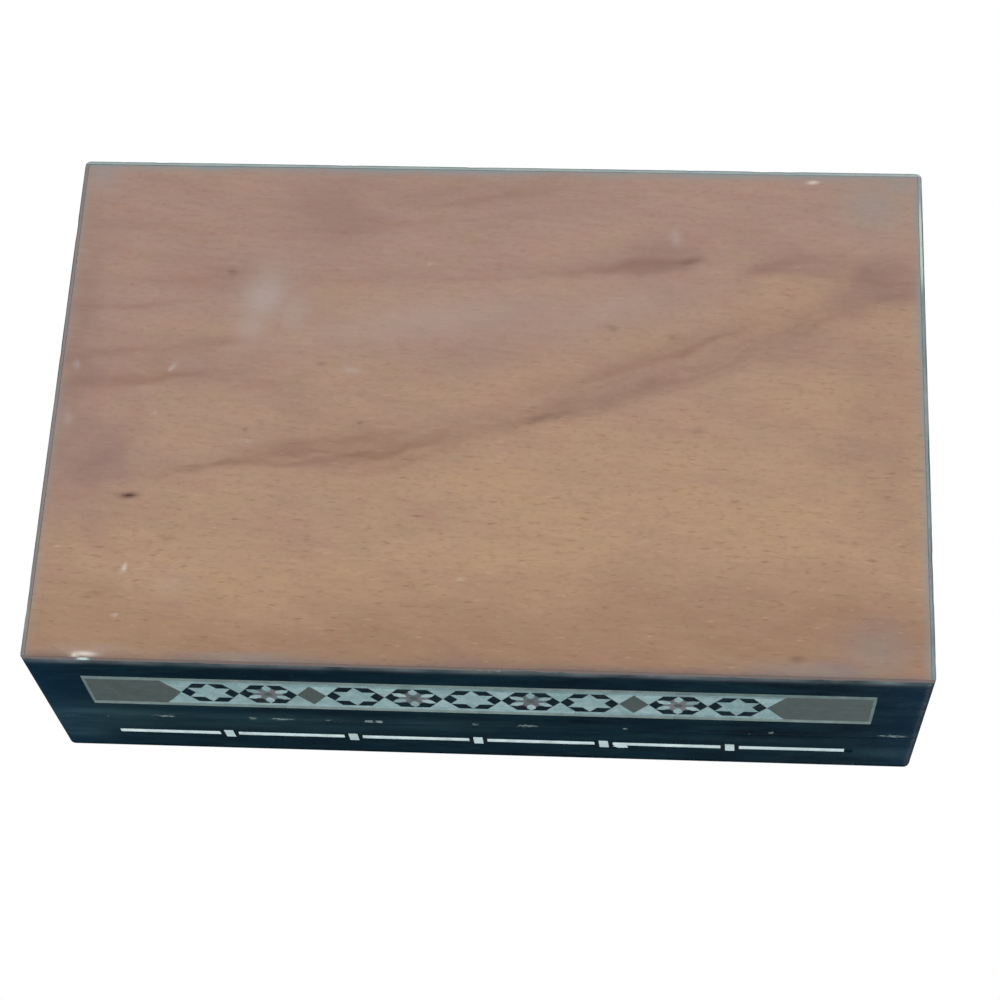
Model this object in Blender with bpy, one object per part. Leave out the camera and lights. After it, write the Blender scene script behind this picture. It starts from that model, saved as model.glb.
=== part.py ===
"""Inlaid trinket box with a hinged lid.

A plain wooden carcass carries black facings, marquetry bands and a stringing of pearl. The lid
swings on two small brass butt hinges at the back, and the inside is lined with velvet.

Metres, +Z up. The origin is the centre of the underside, and the front faces -Y.
"""

import math

import bmesh
import bpy
from mathutils import Matrix, Vector

# Driving dimensions of the box
LENGTH = 0.160
DEPTH = 0.103
HEIGHT = 0.045
SEAM_HEIGHT = 0.0285
SEAM_GAP = 0.0003
GLUE_LINE = 0.0003

# Boards of the carcass
BASE_THICKNESS = 0.005
WALL_THICKNESS = 0.006
LID_BOARD_THICKNESS = 0.005

# Black skin over the carcass
FACING_THICKNESS = 0.0008
TOP_VENEER_THICKNESS = 0.0012
TOP_EDGE_RADIUS = 0.0008
TOP_EDGE_SEGMENTS = 4

# Marquetry bands, the same strip on the sides and on the lid
BAND_HEIGHT = 0.014
BAND_END_MARGIN = 0.0094
TOP_MARGIN = 0.0094

# Stringing round the lid: a thin bar with small square plates
STRINGING_END_MARGIN = 0.0116
STRINGING_WIDTH = 0.0014
STRINGING_PITCH = 0.0234
PLATE_LENGTH = 0.0018
PLATE_HEIGHT = 0.0036

# Medallion in the middle of the lid, measured across its flats
MEDALLION_WIDTH = 0.036
MEDALLION_SIDES = 6

# Velvet over thin card
LINING_THICKNESS = 0.0012
FLOOR_PAD_THICKNESS = 0.0020
LID_PAD_THICKNESS = 0.0020

# Brass butt hinges, their pins and screws
HINGE_LENGTH = 0.018
HINGE_END_DISTANCE = 0.026
LEAF_WIDTH = 0.0055
LEAF_THICKNESS = 0.0008
KNUCKLE_RADIUS = 0.0015
KNUCKLE_CLEARANCE = 0.0003
MIDDLE_KNUCKLE_LENGTH = 0.006
PIN_RADIUS = 0.0006
SCREW_SPACING = 0.012
SCREW_EDGE_DISTANCE = 0.0034
SCREW_LENGTH = 0.005
SCREW_RADIUS = 0.0005
SCREW_HEAD_RADIUS = 0.0011
SCREW_HEAD_DEPTH = 0.0006
SCREW_SLOT_WIDTH = 0.0003
SCREW_SLOT_DEPTH = 0.00025
ROUND_SEGMENTS = 24

# How far a cutter runs past the face that it opens
OVERRUN = 0.001

# Levels and places that follow from the sizes above
BODY_TOP = SEAM_HEIGHT - SEAM_GAP / 2
LID_BOTTOM = SEAM_HEIGHT + SEAM_GAP / 2
LID_BOARD_TOP = HEIGHT - TOP_VENEER_THICKNESS - GLUE_LINE
LID_BOARD_BOTTOM = LID_BOARD_TOP - LID_BOARD_THICKNESS
BOARD_INSET = FACING_THICKNESS + GLUE_LINE
LINING_INSET = BOARD_INSET + WALL_THICKNESS + GLUE_LINE
BODY_LINING_BOTTOM = BASE_THICKNESS + FLOOR_PAD_THICKNESS + 2 * GLUE_LINE
LID_LINING_TOP = LID_BOARD_BOTTOM - LID_PAD_THICKNESS - 2 * GLUE_LINE
AXIS_Y = DEPTH / 2 + KNUCKLE_CLEARANCE + KNUCKLE_RADIUS
HINGE_X = LENGTH / 2 - HINGE_END_DISTANCE - HINGE_LENGTH / 2

# Each side's turn from the front about Z, and whether it is one of the two long ones
SIDES = {
    "front": (0.0, True),
    "right": (math.pi / 2, False),
    "back": (math.pi, True),
    "left": (-math.pi / 2, False),
}

# Base colour, roughness and metallic value of each finish
FINISHES = {
    "beech": ((0.42, 0.27, 0.17, 1.0), 0.55, 0.0),
    "black_lacquer": ((0.006, 0.013, 0.018, 1.0), 0.35, 0.0),
    "marquetry": ((0.30, 0.36, 0.34, 1.0), 0.35, 0.0),
    "pearl": ((0.48, 0.60, 0.60, 1.0), 0.30, 0.0),
    "walnut": ((0.11, 0.10, 0.08, 1.0), 0.40, 0.0),
    "velvet": ((0.16, 0.012, 0.022, 1.0), 0.95, 0.0),
    "brass": ((0.62, 0.43, 0.15, 1.0), 0.30, 1.0),
}


def clear_scene():
    for old in list(bpy.data.objects):
        bpy.data.objects.remove(old, do_unlink=True)


def new_collection(name):
    collection = bpy.data.collections.new(name)
    bpy.context.scene.collection.children.link(collection)
    return collection


def add_material(piece, finish):
    colour, roughness, metallic = FINISHES[finish]
    material = bpy.data.materials.new(f"{piece.name}_{finish}")
    material.use_nodes = True
    shader = material.node_tree.nodes["Principled BSDF"]
    shader.inputs["Base Color"].default_value = colour
    shader.inputs["Roughness"].default_value = roughness
    shader.inputs["Metallic"].default_value = metallic
    material.diffuse_color = colour
    piece.data.materials.append(material)


def mesh_object(name, shape):
    mesh = bpy.data.meshes.new(name)
    shape.to_mesh(mesh)
    shape.free()
    return bpy.data.objects.new(name, mesh)


def block(name, low, high):
    """A rectangular solid between two opposite corners, with its origin in its middle."""
    low, high = Vector(low), Vector(high)
    shape = bmesh.new()
    bmesh.ops.create_cube(shape, size=1)
    bmesh.ops.scale(shape, vec=high - low, verts=shape.verts)
    piece = mesh_object(name, shape)
    piece.location = (low + high) / 2
    return piece


def rod(name, middle, radius, length, end_radius=None, axis="Z"):
    """A cylinder or a cone about its own middle. The second radius is at the far end of the axis."""
    shape = bmesh.new()
    turn = Matrix.Rotation(math.pi / 2, 4, "Y") if axis == "X" else Matrix.Identity(4)
    bmesh.ops.create_cone(
        shape,
        cap_ends=True,
        segments=ROUND_SEGMENTS,
        radius1=radius,
        radius2=radius if end_radius is None else end_radius,
        depth=length,
        matrix=turn,
    )
    piece = mesh_object(name, shape)
    piece.location = middle
    piece.data.shade_smooth()
    piece.data.set_sharp_from_angle(angle=math.radians(40))
    return piece


def flat_plate(name, outlines, thickness):
    """A plate in its own XY plane. Outlines after the first are holes in it."""
    curve = bpy.data.curves.new(name, "CURVE")
    curve.dimensions = "2D"
    curve.fill_mode = "BOTH"
    curve.extrude = thickness / 2
    for outline in outlines:
        spline = curve.splines.new("POLY")
        spline.points.add(len(outline) - 1)
        for point, (across, up) in zip(spline.points, outline):
            point.co = (across, up, 0, 1)
        spline.use_cyclic_u = True
    return bpy.data.objects.new(name, curve)


def rectangle(width, height, middle_up=0.0):
    """Corners of a rectangle that is centred across and has its middle at the given height."""
    half, low, high = width / 2, middle_up - height / 2, middle_up + height / 2
    return [(-half, low), (half, low), (half, high), (-half, high)]


def hexagon(width_across_flats):
    """Corners of the medallion's outline, with flats towards the front and the back."""
    corner_radius = width_across_flats / 2 / math.cos(math.pi / MEDALLION_SIDES)
    turns = [math.tau * number / MEDALLION_SIDES for number in range(MEDALLION_SIDES)]
    return [(corner_radius * math.cos(turn), corner_radius * math.sin(turn)) for turn in turns]


def side_length(side, inset, thickness):
    """Length of a layer on one side: the long sides run through and the short ones fit between."""
    if SIDES[side][1]:
        return LENGTH - 2 * inset
    return DEPTH - 2 * (inset + thickness + GLUE_LINE)


def side_place(side, inset, thickness, level):
    """Middle of a layer that lies the given inset behind the outer face of a side."""
    turn, is_long = SIDES[side]
    reach = (DEPTH if is_long else LENGTH) / 2 - inset - thickness / 2
    return Vector((math.sin(turn) * reach, -math.cos(turn) * reach, level))


def side_board(name, side, inset, thickness, bottom, top):
    """An upright board along one side."""
    half = side_length(side, inset, thickness) / 2
    piece = block(name, (-half, -thickness / 2, bottom), (half, thickness / 2, top))
    piece.location = side_place(side, inset, thickness, (bottom + top) / 2)
    piece.rotation_euler = (0, 0, SIDES[side][0])
    return piece


def side_plate(name, side, outlines, thickness, level):
    """An upright plate in the outer skin of one side. Its outlines are drawn about its middle."""
    piece = flat_plate(name, outlines, thickness)
    piece.location = side_place(side, 0, thickness, level)
    piece.rotation_euler = (math.pi / 2, 0, SIDES[side][0])
    return piece


def notched(width, height, from_top):
    """A rectangle for a back facing, with a notch for each hinge in the edge at the seam."""
    half, low, high = width / 2, -height / 2, height / 2
    depth = LEAF_THICKNESS + GLUE_LINE
    edge, floor = (high, high - depth) if from_top else (low, low + depth)
    reach = HINGE_LENGTH / 2 + GLUE_LINE
    steps = []
    for middle in (-HINGE_X, HINGE_X):
        steps += [(middle - reach, edge), (middle - reach, floor)]
        steps += [(middle + reach, floor), (middle + reach, edge)]
    if from_top:
        return [(half, low), (half, high)] + steps[::-1] + [(-half, high), (-half, low)]
    return [(-half, high), (-half, low)] + steps + [(half, low), (half, high)]


def facing(name, side, bottom, top, hole, seam_on_top):
    """The black skin of one side, with its hole for the inlay and notches for the hinges."""
    length = side_length(side, 0, FACING_THICKNESS)
    height = top - bottom
    if side == "back":
        outline = notched(length, height, seam_on_top)
    else:
        outline = rectangle(length, height)
    return side_plate(name, side, [outline, hole], FACING_THICKNESS, (bottom + top) / 2)


def band_length(side):
    return (LENGTH if SIDES[side][1] else DEPTH) - 2 * BAND_END_MARGIN


def stringing_outline(side, clearance):
    """The bar with its plates, a pitch apart. The clearance widens it, for the slot it lies in."""
    length = (LENGTH if SIDES[side][1] else DEPTH) - 2 * STRINGING_END_MARGIN
    spans = round(length / STRINGING_PITCH)
    half_bar = STRINGING_WIDTH / 2 + clearance
    half_plate = PLATE_HEIGHT / 2 + clearance
    reach = PLATE_LENGTH / 2 + clearance
    end = length / 2 + clearance
    lower = [(-end, -half_bar)]
    for number in range(1, spans):
        middle = (number - spans / 2) * STRINGING_PITCH
        lower += [(middle - reach, -half_bar), (middle - reach, -half_plate)]
        lower += [(middle + reach, -half_plate), (middle + reach, -half_bar)]
    lower.append((end, -half_bar))
    return lower + [(across, -up) for across, up in reversed(lower)]


def cut(piece, cutter):
    bite = piece.modifiers.new(f"cut_{cutter.name}", "BOOLEAN")
    bite.operation = "DIFFERENCE"
    bite.solver = "EXACT"
    bite.object = cutter


def join(piece, other):
    union = piece.modifiers.new(f"join_{other.name}", "BOOLEAN")
    union.operation = "UNION"
    union.solver = "EXACT"
    union.object = other


class Box:
    """The two collections, and the empty on the hinge axis that carries the lid."""

    def __init__(self):
        self.parts = new_collection("trinket_box")
        self.cutters = new_collection("cutters")
        self.axis = bpy.data.objects.new("lid_hinge_axis", None)
        self.axis.empty_display_size = KNUCKLE_RADIUS
        self.axis.location = (0, AXIS_Y, SEAM_HEIGHT)
        self.parts.objects.link(self.axis)

    def hang(self, piece, on_lid):
        """Parents a piece of the lid to the hinge axis, without moving it."""
        if on_lid:
            piece.parent = self.axis
            piece.location -= self.axis.location
        return piece

    def add(self, piece, finish, on_lid=False):
        self.parts.objects.link(piece)
        add_material(piece, finish)
        return self.hang(piece, on_lid)

    def helper(self, piece, on_lid=False):
        self.cutters.objects.link(piece)
        piece.hide_render = True
        piece.display_type = "WIRE"
        return self.hang(piece, on_lid)


def build_carcass(box):
    """The base board and the four walls that stand on it."""
    half_x, half_y = LENGTH / 2 - BOARD_INSET, DEPTH / 2 - BOARD_INSET
    box.add(block("base_board", (-half_x, -half_y, 0), (half_x, half_y, BASE_THICKNESS)), "beech")
    for side in SIDES:
        name = f"body_{side}_board"
        wall_bottom = BASE_THICKNESS + GLUE_LINE
        wall = side_board(name, side, BOARD_INSET, WALL_THICKNESS, wall_bottom, BODY_TOP)
        box.add(wall, "beech")


def build_lid_carcass(box):
    """The lid's top board and the four rails under it."""
    half_x, half_y = LENGTH / 2 - BOARD_INSET, DEPTH / 2 - BOARD_INSET
    low, high = (-half_x, -half_y, LID_BOARD_BOTTOM), (half_x, half_y, LID_BOARD_TOP)
    box.add(block("lid_top_board", low, high), "beech", on_lid=True)
    for side in SIDES:
        name = f"lid_{side}_rail"
        rail_top = LID_BOARD_BOTTOM - GLUE_LINE
        rail = side_board(name, side, BOARD_INSET, WALL_THICKNESS, LID_BOTTOM, rail_top)
        box.add(rail, "beech", on_lid=True)


def build_body_skin(box):
    """The black facings of the body, each with a marquetry band let into its middle."""
    for side in SIDES:
        length = band_length(side)
        hole = rectangle(length + 2 * GLUE_LINE, BAND_HEIGHT + 2 * GLUE_LINE)
        skin = facing(f"body_{side}_facing", side, 0, BODY_TOP, hole, True)
        box.add(skin, "black_lacquer")
        strip = [rectangle(length, BAND_HEIGHT)]
        name = f"{side}_marquetry_band"
        band = side_plate(name, side, strip, FACING_THICKNESS, BODY_TOP / 2)
        box.add(band, "marquetry")


def build_lid_skin(box):
    """The black facings of the lid, each with its stringing."""
    middle = (LID_BOTTOM + LID_BOARD_TOP) / 2
    for side in SIDES:
        hole = stringing_outline(side, GLUE_LINE)
        skin = facing(f"lid_{side}_facing", side, LID_BOTTOM, LID_BOARD_TOP, hole, False)
        box.add(skin, "black_lacquer", on_lid=True)
        string = [stringing_outline(side, 0)]
        name = f"lid_{side}_stringing"
        inlay = side_plate(name, side, string, FACING_THICKNESS, middle)
        box.add(inlay, "pearl", on_lid=True)


def build_top_veneer(box):
    """The black frame round the lid's top, with its outer edge rounded over."""
    low = (-LENGTH / 2, -DEPTH / 2, HEIGHT - TOP_VENEER_THICKNESS)
    veneer = box.add(block("lid_top_veneer", low, (LENGTH / 2, DEPTH / 2, HEIGHT)),
                     "black_lacquer", on_lid=True)
    shape = bmesh.new()
    shape.from_mesh(veneer.data)
    rims = [edge for edge in shape.edges if all(corner.co.z > 0 for corner in edge.verts)]
    bmesh.ops.bevel(shape, geom=rims, offset=TOP_EDGE_RADIUS, segments=TOP_EDGE_SEGMENTS,
                    profile=0.5, affect="EDGES")
    shape.to_mesh(veneer.data)
    shape.free()
    half_x, half_y = LENGTH / 2 - TOP_MARGIN, DEPTH / 2 - TOP_MARGIN
    window = block("top_window", (-half_x, -half_y, LID_BOARD_TOP), (half_x, half_y, HEIGHT + OVERRUN))
    cut(veneer, box.helper(window, on_lid=True))


def build_top_inlay(box):
    """Four marquetry bands in the window, the panel inside them and the medallion in the panel."""
    level = HEIGHT - TOP_VENEER_THICKNESS / 2
    frame_x, frame_y = LENGTH - 2 * (TOP_MARGIN + GLUE_LINE), DEPTH - 2 * (TOP_MARGIN + GLUE_LINE)
    inner_x = frame_x - 2 * (BAND_HEIGHT + GLUE_LINE)
    inner_y = frame_y - 2 * (BAND_HEIGHT + GLUE_LINE)
    for side, (turn, is_long) in SIDES.items():
        length, reach = (frame_x, frame_y) if is_long else (inner_y, frame_x)
        reach = (reach - BAND_HEIGHT) / 2
        strip = [rectangle(length, BAND_HEIGHT)]
        band = flat_plate(f"lid_top_band_{side}", strip, TOP_VENEER_THICKNESS)
        band.location = (math.sin(turn) * reach, -math.cos(turn) * reach, level)
        band.rotation_euler = (0, 0, turn)
        box.add(band, "marquetry", on_lid=True)
    hole = hexagon(MEDALLION_WIDTH + 2 * GLUE_LINE)
    outlines = [rectangle(inner_x, inner_y), hole]
    panel = flat_plate("lid_top_panel", outlines, TOP_VENEER_THICKNESS)
    panel.location = (0, 0, level)
    box.add(panel, "walnut", on_lid=True)
    medallion = flat_plate("lid_medallion", [hexagon(MEDALLION_WIDTH)], TOP_VENEER_THICKNESS)
    medallion.location = (0, 0, level)
    box.add(medallion, "marquetry", on_lid=True)


def build_linings(box):
    """Velvet on the floor and the walls of the body, and inside the lid."""
    half_x, half_y = LENGTH / 2 - LINING_INSET, DEPTH / 2 - LINING_INSET
    pad_bottom = BASE_THICKNESS + GLUE_LINE
    low, high = (-half_x, -half_y, pad_bottom), (half_x, half_y, pad_bottom + FLOOR_PAD_THICKNESS)
    box.add(block("floor_lining", low, high), "velvet")
    pad_top = LID_BOARD_BOTTOM - GLUE_LINE
    low, high = (-half_x, -half_y, pad_top - LID_PAD_THICKNESS), (half_x, half_y, pad_top)
    box.add(block("lid_lining", low, high), "velvet", on_lid=True)
    for side in SIDES:
        body_cloth = side_board(f"body_{side}_lining", side, LINING_INSET, LINING_THICKNESS,
                                BODY_LINING_BOTTOM, BODY_TOP)
        box.add(body_cloth, "velvet")
        lid_cloth = side_board(f"lid_{side}_lining", side, LINING_INSET, LINING_THICKNESS,
                               LID_BOTTOM, LID_LINING_TOP)
        box.add(lid_cloth, "velvet", on_lid=True)


def knuckle(box, name, low_x, high_x, leaf_low, leaf_high, on_lid):
    """One rolled knuckle and the web that joins it to its leaf, as helpers for a union."""
    middle = ((low_x + high_x) / 2, AXIS_Y, SEAM_HEIGHT)
    roll = rod(f"{name}_roll", middle, KNUCKLE_RADIUS, high_x - low_x, axis="X")
    low = (low_x, DEPTH / 2 - GLUE_LINE, leaf_low)
    web = block(f"{name}_web", low, (high_x, AXIS_Y, leaf_high))
    return [box.helper(piece, on_lid) for piece in (web, roll)]


def build_leaf(box, hinge, middle_x, on_lid):
    """A hinge leaf: the lower one has the two outer knuckles, and the upper one the middle one."""
    part = "upper" if on_lid else "lower"
    name = f"{hinge}_hinge_{part}_leaf"
    low_z = LID_BOTTOM if on_lid else BODY_TOP - LEAF_THICKNESS
    high_z = low_z + LEAF_THICKNESS
    half = HINGE_LENGTH / 2
    low = (middle_x - half, DEPTH / 2 - LEAF_WIDTH, low_z)
    leaf = box.add(block(name, low, (middle_x + half, DEPTH / 2, high_z)), "brass", on_lid)
    inner = MIDDLE_KNUCKLE_LENGTH / 2
    if on_lid:
        spans = [(middle_x - inner, middle_x + inner)]
    else:
        outer = inner + KNUCKLE_CLEARANCE
        spans = [(middle_x - half, middle_x - outer), (middle_x + outer, middle_x + half)]
    for number, (low_x, high_x) in enumerate(spans):
        for helper in knuckle(box, f"{name}_{number}", low_x, high_x, low_z, high_z, on_lid):
            join(leaf, helper)
    bore_radius = PIN_RADIUS + KNUCKLE_CLEARANCE
    bore = rod(f"{name}_bore", (middle_x, AXIS_Y, SEAM_HEIGHT), bore_radius,
               HINGE_LENGTH + 2 * OVERRUN, axis="X")
    cut(leaf, box.helper(bore, on_lid))
    return leaf


def build_screw(box, name, place, leaf, board, on_lid):
    """A countersunk wood screw, its seat in the leaf and its hole in the board."""
    away = 1 if on_lid else -1
    head_middle = Vector(place) + Vector((0, 0, away * SCREW_HEAD_DEPTH / 2))
    ends = (SCREW_HEAD_RADIUS, SCREW_RADIUS) if on_lid else (SCREW_RADIUS, SCREW_HEAD_RADIUS)
    screw = box.add(rod(name, head_middle, ends[0], SCREW_HEAD_DEPTH, end_radius=ends[1]),
                    "brass", on_lid)
    shank_length = SCREW_LENGTH - SCREW_HEAD_DEPTH / 2
    shank_middle = Vector(place) + Vector((0, 0, away * (SCREW_LENGTH - shank_length / 2)))
    shank = rod(f"{name}_shank", shank_middle, SCREW_RADIUS, shank_length)
    join(screw, box.helper(shank, on_lid))
    reach = Vector((SCREW_HEAD_RADIUS + OVERRUN, SCREW_SLOT_WIDTH / 2, SCREW_SLOT_DEPTH))
    slot = block(f"{name}_slot", Vector(place) - reach, Vector(place) + reach)
    cut(screw, box.helper(slot, on_lid))
    seat_ends = [radius + GLUE_LINE for radius in ends]
    seat_rise = SCREW_HEAD_RADIUS - SCREW_RADIUS
    steepness = seat_rise / SCREW_HEAD_DEPTH
    spread = steepness * OVERRUN
    wide = 0 if on_lid else 1
    seat_ends[wide] += spread
    seat_middle = head_middle - Vector((0, 0, away * OVERRUN / 2))
    seat = rod(f"{name}_seat", seat_middle, seat_ends[0], SCREW_HEAD_DEPTH + OVERRUN,
               end_radius=seat_ends[1])
    cut(leaf, box.helper(seat, on_lid))
    hole_middle = Vector(place) + Vector((0, 0, away * SCREW_LENGTH / 2))
    hole = rod(f"{name}_hole", hole_middle, SCREW_RADIUS + GLUE_LINE,
               SCREW_LENGTH + 2 * GLUE_LINE)
    hole = box.helper(hole, on_lid)
    cut(leaf, hole)
    cut(board, hole)


def build_mortise(box, name, middle_x, board, on_lid):
    """The shallow housing for one leaf in the edge of a back board."""
    reach = HINGE_LENGTH / 2 + GLUE_LINE
    depth = LEAF_THICKNESS + GLUE_LINE
    low_z, high_z = (LID_BOTTOM - OVERRUN, LID_BOTTOM + depth) if on_lid else (
        BODY_TOP - depth, BODY_TOP + OVERRUN)
    low = (middle_x - reach, DEPTH / 2 - LEAF_WIDTH - GLUE_LINE, low_z)
    pocket = block(name, low, (middle_x + reach, DEPTH / 2 + OVERRUN, high_z))
    cut(board, box.helper(pocket, on_lid))


def build_hinge(box, hinge, middle_x):
    """A whole hinge: its mortises, its two leaves with their screws, and its pin."""
    for on_lid in (False, True):
        part = "upper" if on_lid else "lower"
        board = bpy.data.objects["lid_back_rail" if on_lid else "body_back_board"]
        build_mortise(box, f"{hinge}_{part}_mortise", middle_x, board, on_lid)
        leaf = build_leaf(box, hinge, middle_x, on_lid)
        level = LID_BOTTOM if on_lid else BODY_TOP
        outward = 1 if middle_x > 0 else -1
        for place, step in (("outer", outward), ("inner", -outward)):
            where = (middle_x + step * SCREW_SPACING / 2, DEPTH / 2 - SCREW_EDGE_DISTANCE, level)
            build_screw(box, f"{hinge}_hinge_{part}_{place}_screw", where, leaf, board, on_lid)
    pin = rod(f"{hinge}_hinge_pin", (middle_x, AXIS_Y, SEAM_HEIGHT), PIN_RADIUS, HINGE_LENGTH,
              axis="X")
    box.add(pin, "brass")


def main():
    clear_scene()
    box = Box()
    build_carcass(box)
    build_lid_carcass(box)
    build_body_skin(box)
    build_lid_skin(box)
    build_top_veneer(box)
    build_top_inlay(box)
    build_linings(box)
    build_hinge(box, "left", -HINGE_X)
    build_hinge(box, "right", HINGE_X)


main()
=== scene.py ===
# %% [markdown]
# # An inlaid trinket box, seen from below
# The photograph shows the box lying on its lid, with its plain wooden underside towards us. The
# part stands the right way up, so here the camera goes below the box instead. This file dresses
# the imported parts: a scuffed wooden underside, a black skin, star marquetry in pearl and wood, a
# pearl stringing round the lid, velvet inside and small brass hinges. Metres, +Z up, front -Y.

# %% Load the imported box
import math

import bpy
import numpy as np
from mathutils import Matrix, Vector


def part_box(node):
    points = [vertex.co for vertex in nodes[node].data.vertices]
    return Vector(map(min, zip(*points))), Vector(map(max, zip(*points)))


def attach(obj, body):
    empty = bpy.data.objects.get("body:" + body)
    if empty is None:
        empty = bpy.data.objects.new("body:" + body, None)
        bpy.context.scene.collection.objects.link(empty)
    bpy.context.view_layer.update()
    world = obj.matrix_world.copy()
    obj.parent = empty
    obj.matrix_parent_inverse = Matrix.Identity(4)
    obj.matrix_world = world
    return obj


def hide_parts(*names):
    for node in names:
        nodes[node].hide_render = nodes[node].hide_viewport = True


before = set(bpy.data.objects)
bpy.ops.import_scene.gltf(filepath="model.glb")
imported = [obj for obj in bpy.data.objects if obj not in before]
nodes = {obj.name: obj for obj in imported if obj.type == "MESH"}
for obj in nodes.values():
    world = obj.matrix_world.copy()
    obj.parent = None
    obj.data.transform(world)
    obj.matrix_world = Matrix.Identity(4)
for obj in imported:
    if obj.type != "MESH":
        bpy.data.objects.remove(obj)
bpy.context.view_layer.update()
MM = 0.001

# %% [markdown]
# ## Sizes
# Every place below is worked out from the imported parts, so that the dressing fits them. A side of
# the box is described by three numbers: how far across it, how far up, and how deep in from its
# outer face. One function turns them into places in the frame, for all four sides.

# %% Sizes read from the parts
HALF_LENGTH, HALF_DEPTH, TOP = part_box("lid_top_veneer")[1]
VENEER_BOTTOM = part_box("lid_top_veneer")[0].z
BODY_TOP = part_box("body_front_board")[1].z
LID_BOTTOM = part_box("lid_front_rail")[0].z
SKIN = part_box("body_front_facing")[1].y + HALF_DEPTH
VENEER = TOP - VENEER_BOTTOM
BAND_MIDDLE = BODY_TOP / 2
BAND_HALF = (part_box("front_marquetry_band")[1].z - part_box("front_marquetry_band")[0].z) / 2
STRING_MIDDLE = (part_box("lid_front_stringing")[0].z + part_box("lid_front_stringing")[1].z) / 2
TURNS = {"front": 0, "right": 90, "back": 180, "left": -90}
LONG_SIDES = ("front", "back")
AXIS = {side: 0 if side in LONG_SIDES else 1 for side in TURNS}  # X is 0 and Y is 1.
print("skin", round(SKIN / MM, 2), "mm thick, band half height", round(BAND_HALF / MM, 2), "mm")


# %% Places on a side and on the top
def turned(side, across, out):
    """X and Y of places across a side and out from the box's middle, turned to face that side."""
    turn = math.radians(TURNS[side])
    x = math.cos(turn) * across + math.sin(turn) * out
    y = math.sin(turn) * across - math.cos(turn) * out
    return x, y


def on_side(side, level=0.0):
    """Makes the function that puts (across, up, depth) rows on one side, up from a level."""
    reach = HALF_DEPTH if side in LONG_SIDES else HALF_LENGTH

    def place(rows):
        x, y = turned(side, rows[:, 0], reach - rows[:, 2])
        return np.stack([x, y, rows[:, 1] + level], axis=-1)

    return place


def on_top(side="front", reach=0.0):
    """Makes the function that puts (across, in, depth) rows on the lid, along one of its sides."""

    def place(rows):
        x, y = turned(side, rows[:, 0], reach - rows[:, 1])
        return np.stack([x, y, TOP - rows[:, 2]], axis=-1)

    return place


# %% [markdown]
# ## Camera
# Its place and lens come from a perspective fit to the corners of the underside, the outline of
# the long side and the ends of the marquetry band. It looks up at the underside, and the photo's
# top edge is the box's back edge, so the camera's up points down through the box.

# %% Camera
CAMERA_PLACE = Vector((-29.15, -204.98, -407.0)) * MM
CAMERA_AIM = Vector((-3.21, -18.46, 0.0)) * MM
CAMERA_ROLL = math.radians(-5.88)
CAMERA_LENS = 90.07


def aimed(place, aim, roll, upward):
    """Turn and place of a thing that looks from one place at another, rolled about its view."""
    forward = (aim - place).normalized()
    level = forward.cross(upward).normalized()
    rise = level.cross(forward)
    right = math.cos(roll) * level + math.sin(roll) * rise
    up = math.cos(roll) * rise - math.sin(roll) * level
    pose = Matrix((right, up, -forward)).transposed().to_4x4()
    pose.translation = place
    return pose


camera_data = bpy.data.cameras.new("camera")
camera_data.lens = CAMERA_LENS
camera_data.clip_start, camera_data.clip_end = 0.01, 20
camera = bpy.data.objects.new("camera", camera_data)
camera.matrix_world = aimed(CAMERA_PLACE, CAMERA_AIM, CAMERA_ROLL, Vector((0, 0, -1)))
bpy.context.scene.collection.objects.link(camera)
bpy.context.scene.camera = camera
bpy.context.scene.view_settings.view_transform = "Standard"
print("camera", round((CAMERA_AIM - CAMERA_PLACE).length, 3), "m from the box")

# %% [markdown]
# ## Materials, from the ground up
# A finish is a Principled shader whose colour, roughness and bump come from a few noises. Real
# wood, lacquer and pearl are never one colour, and the size of the blotches tells how big the
# thing is, so each noise is given the real size of its blotches along X, Y and Z. Colours are
# written as they look on a screen, 0 to 255, and changed to light values here.


# %% Helpers for finishes
def tint(red, green, blue):
    """A screen colour as light values: the standard sRGB curve, undone."""
    shares = np.array([red, green, blue]) / 255
    light = np.where(shares <= 0.04045, shares / 12.92, ((shares + 0.055) / 1.055) ** 2.4)
    return (*light.tolist(), 1.0)


def add_node(tree, kind, inputs, output=0, **settings):
    """Adds a node, fills its inputs by name or number, and gives back one of its outputs."""
    node = tree.nodes.new("ShaderNode" + kind)
    for setting, value in settings.items():
        setattr(node, setting, value)
    for socket, value in inputs.items():
        if isinstance(value, bpy.types.NodeSocket):
            tree.links.new(value, node.inputs[socket])
        else:
            node.inputs[socket].default_value = value
    return node.outputs[output]


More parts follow.
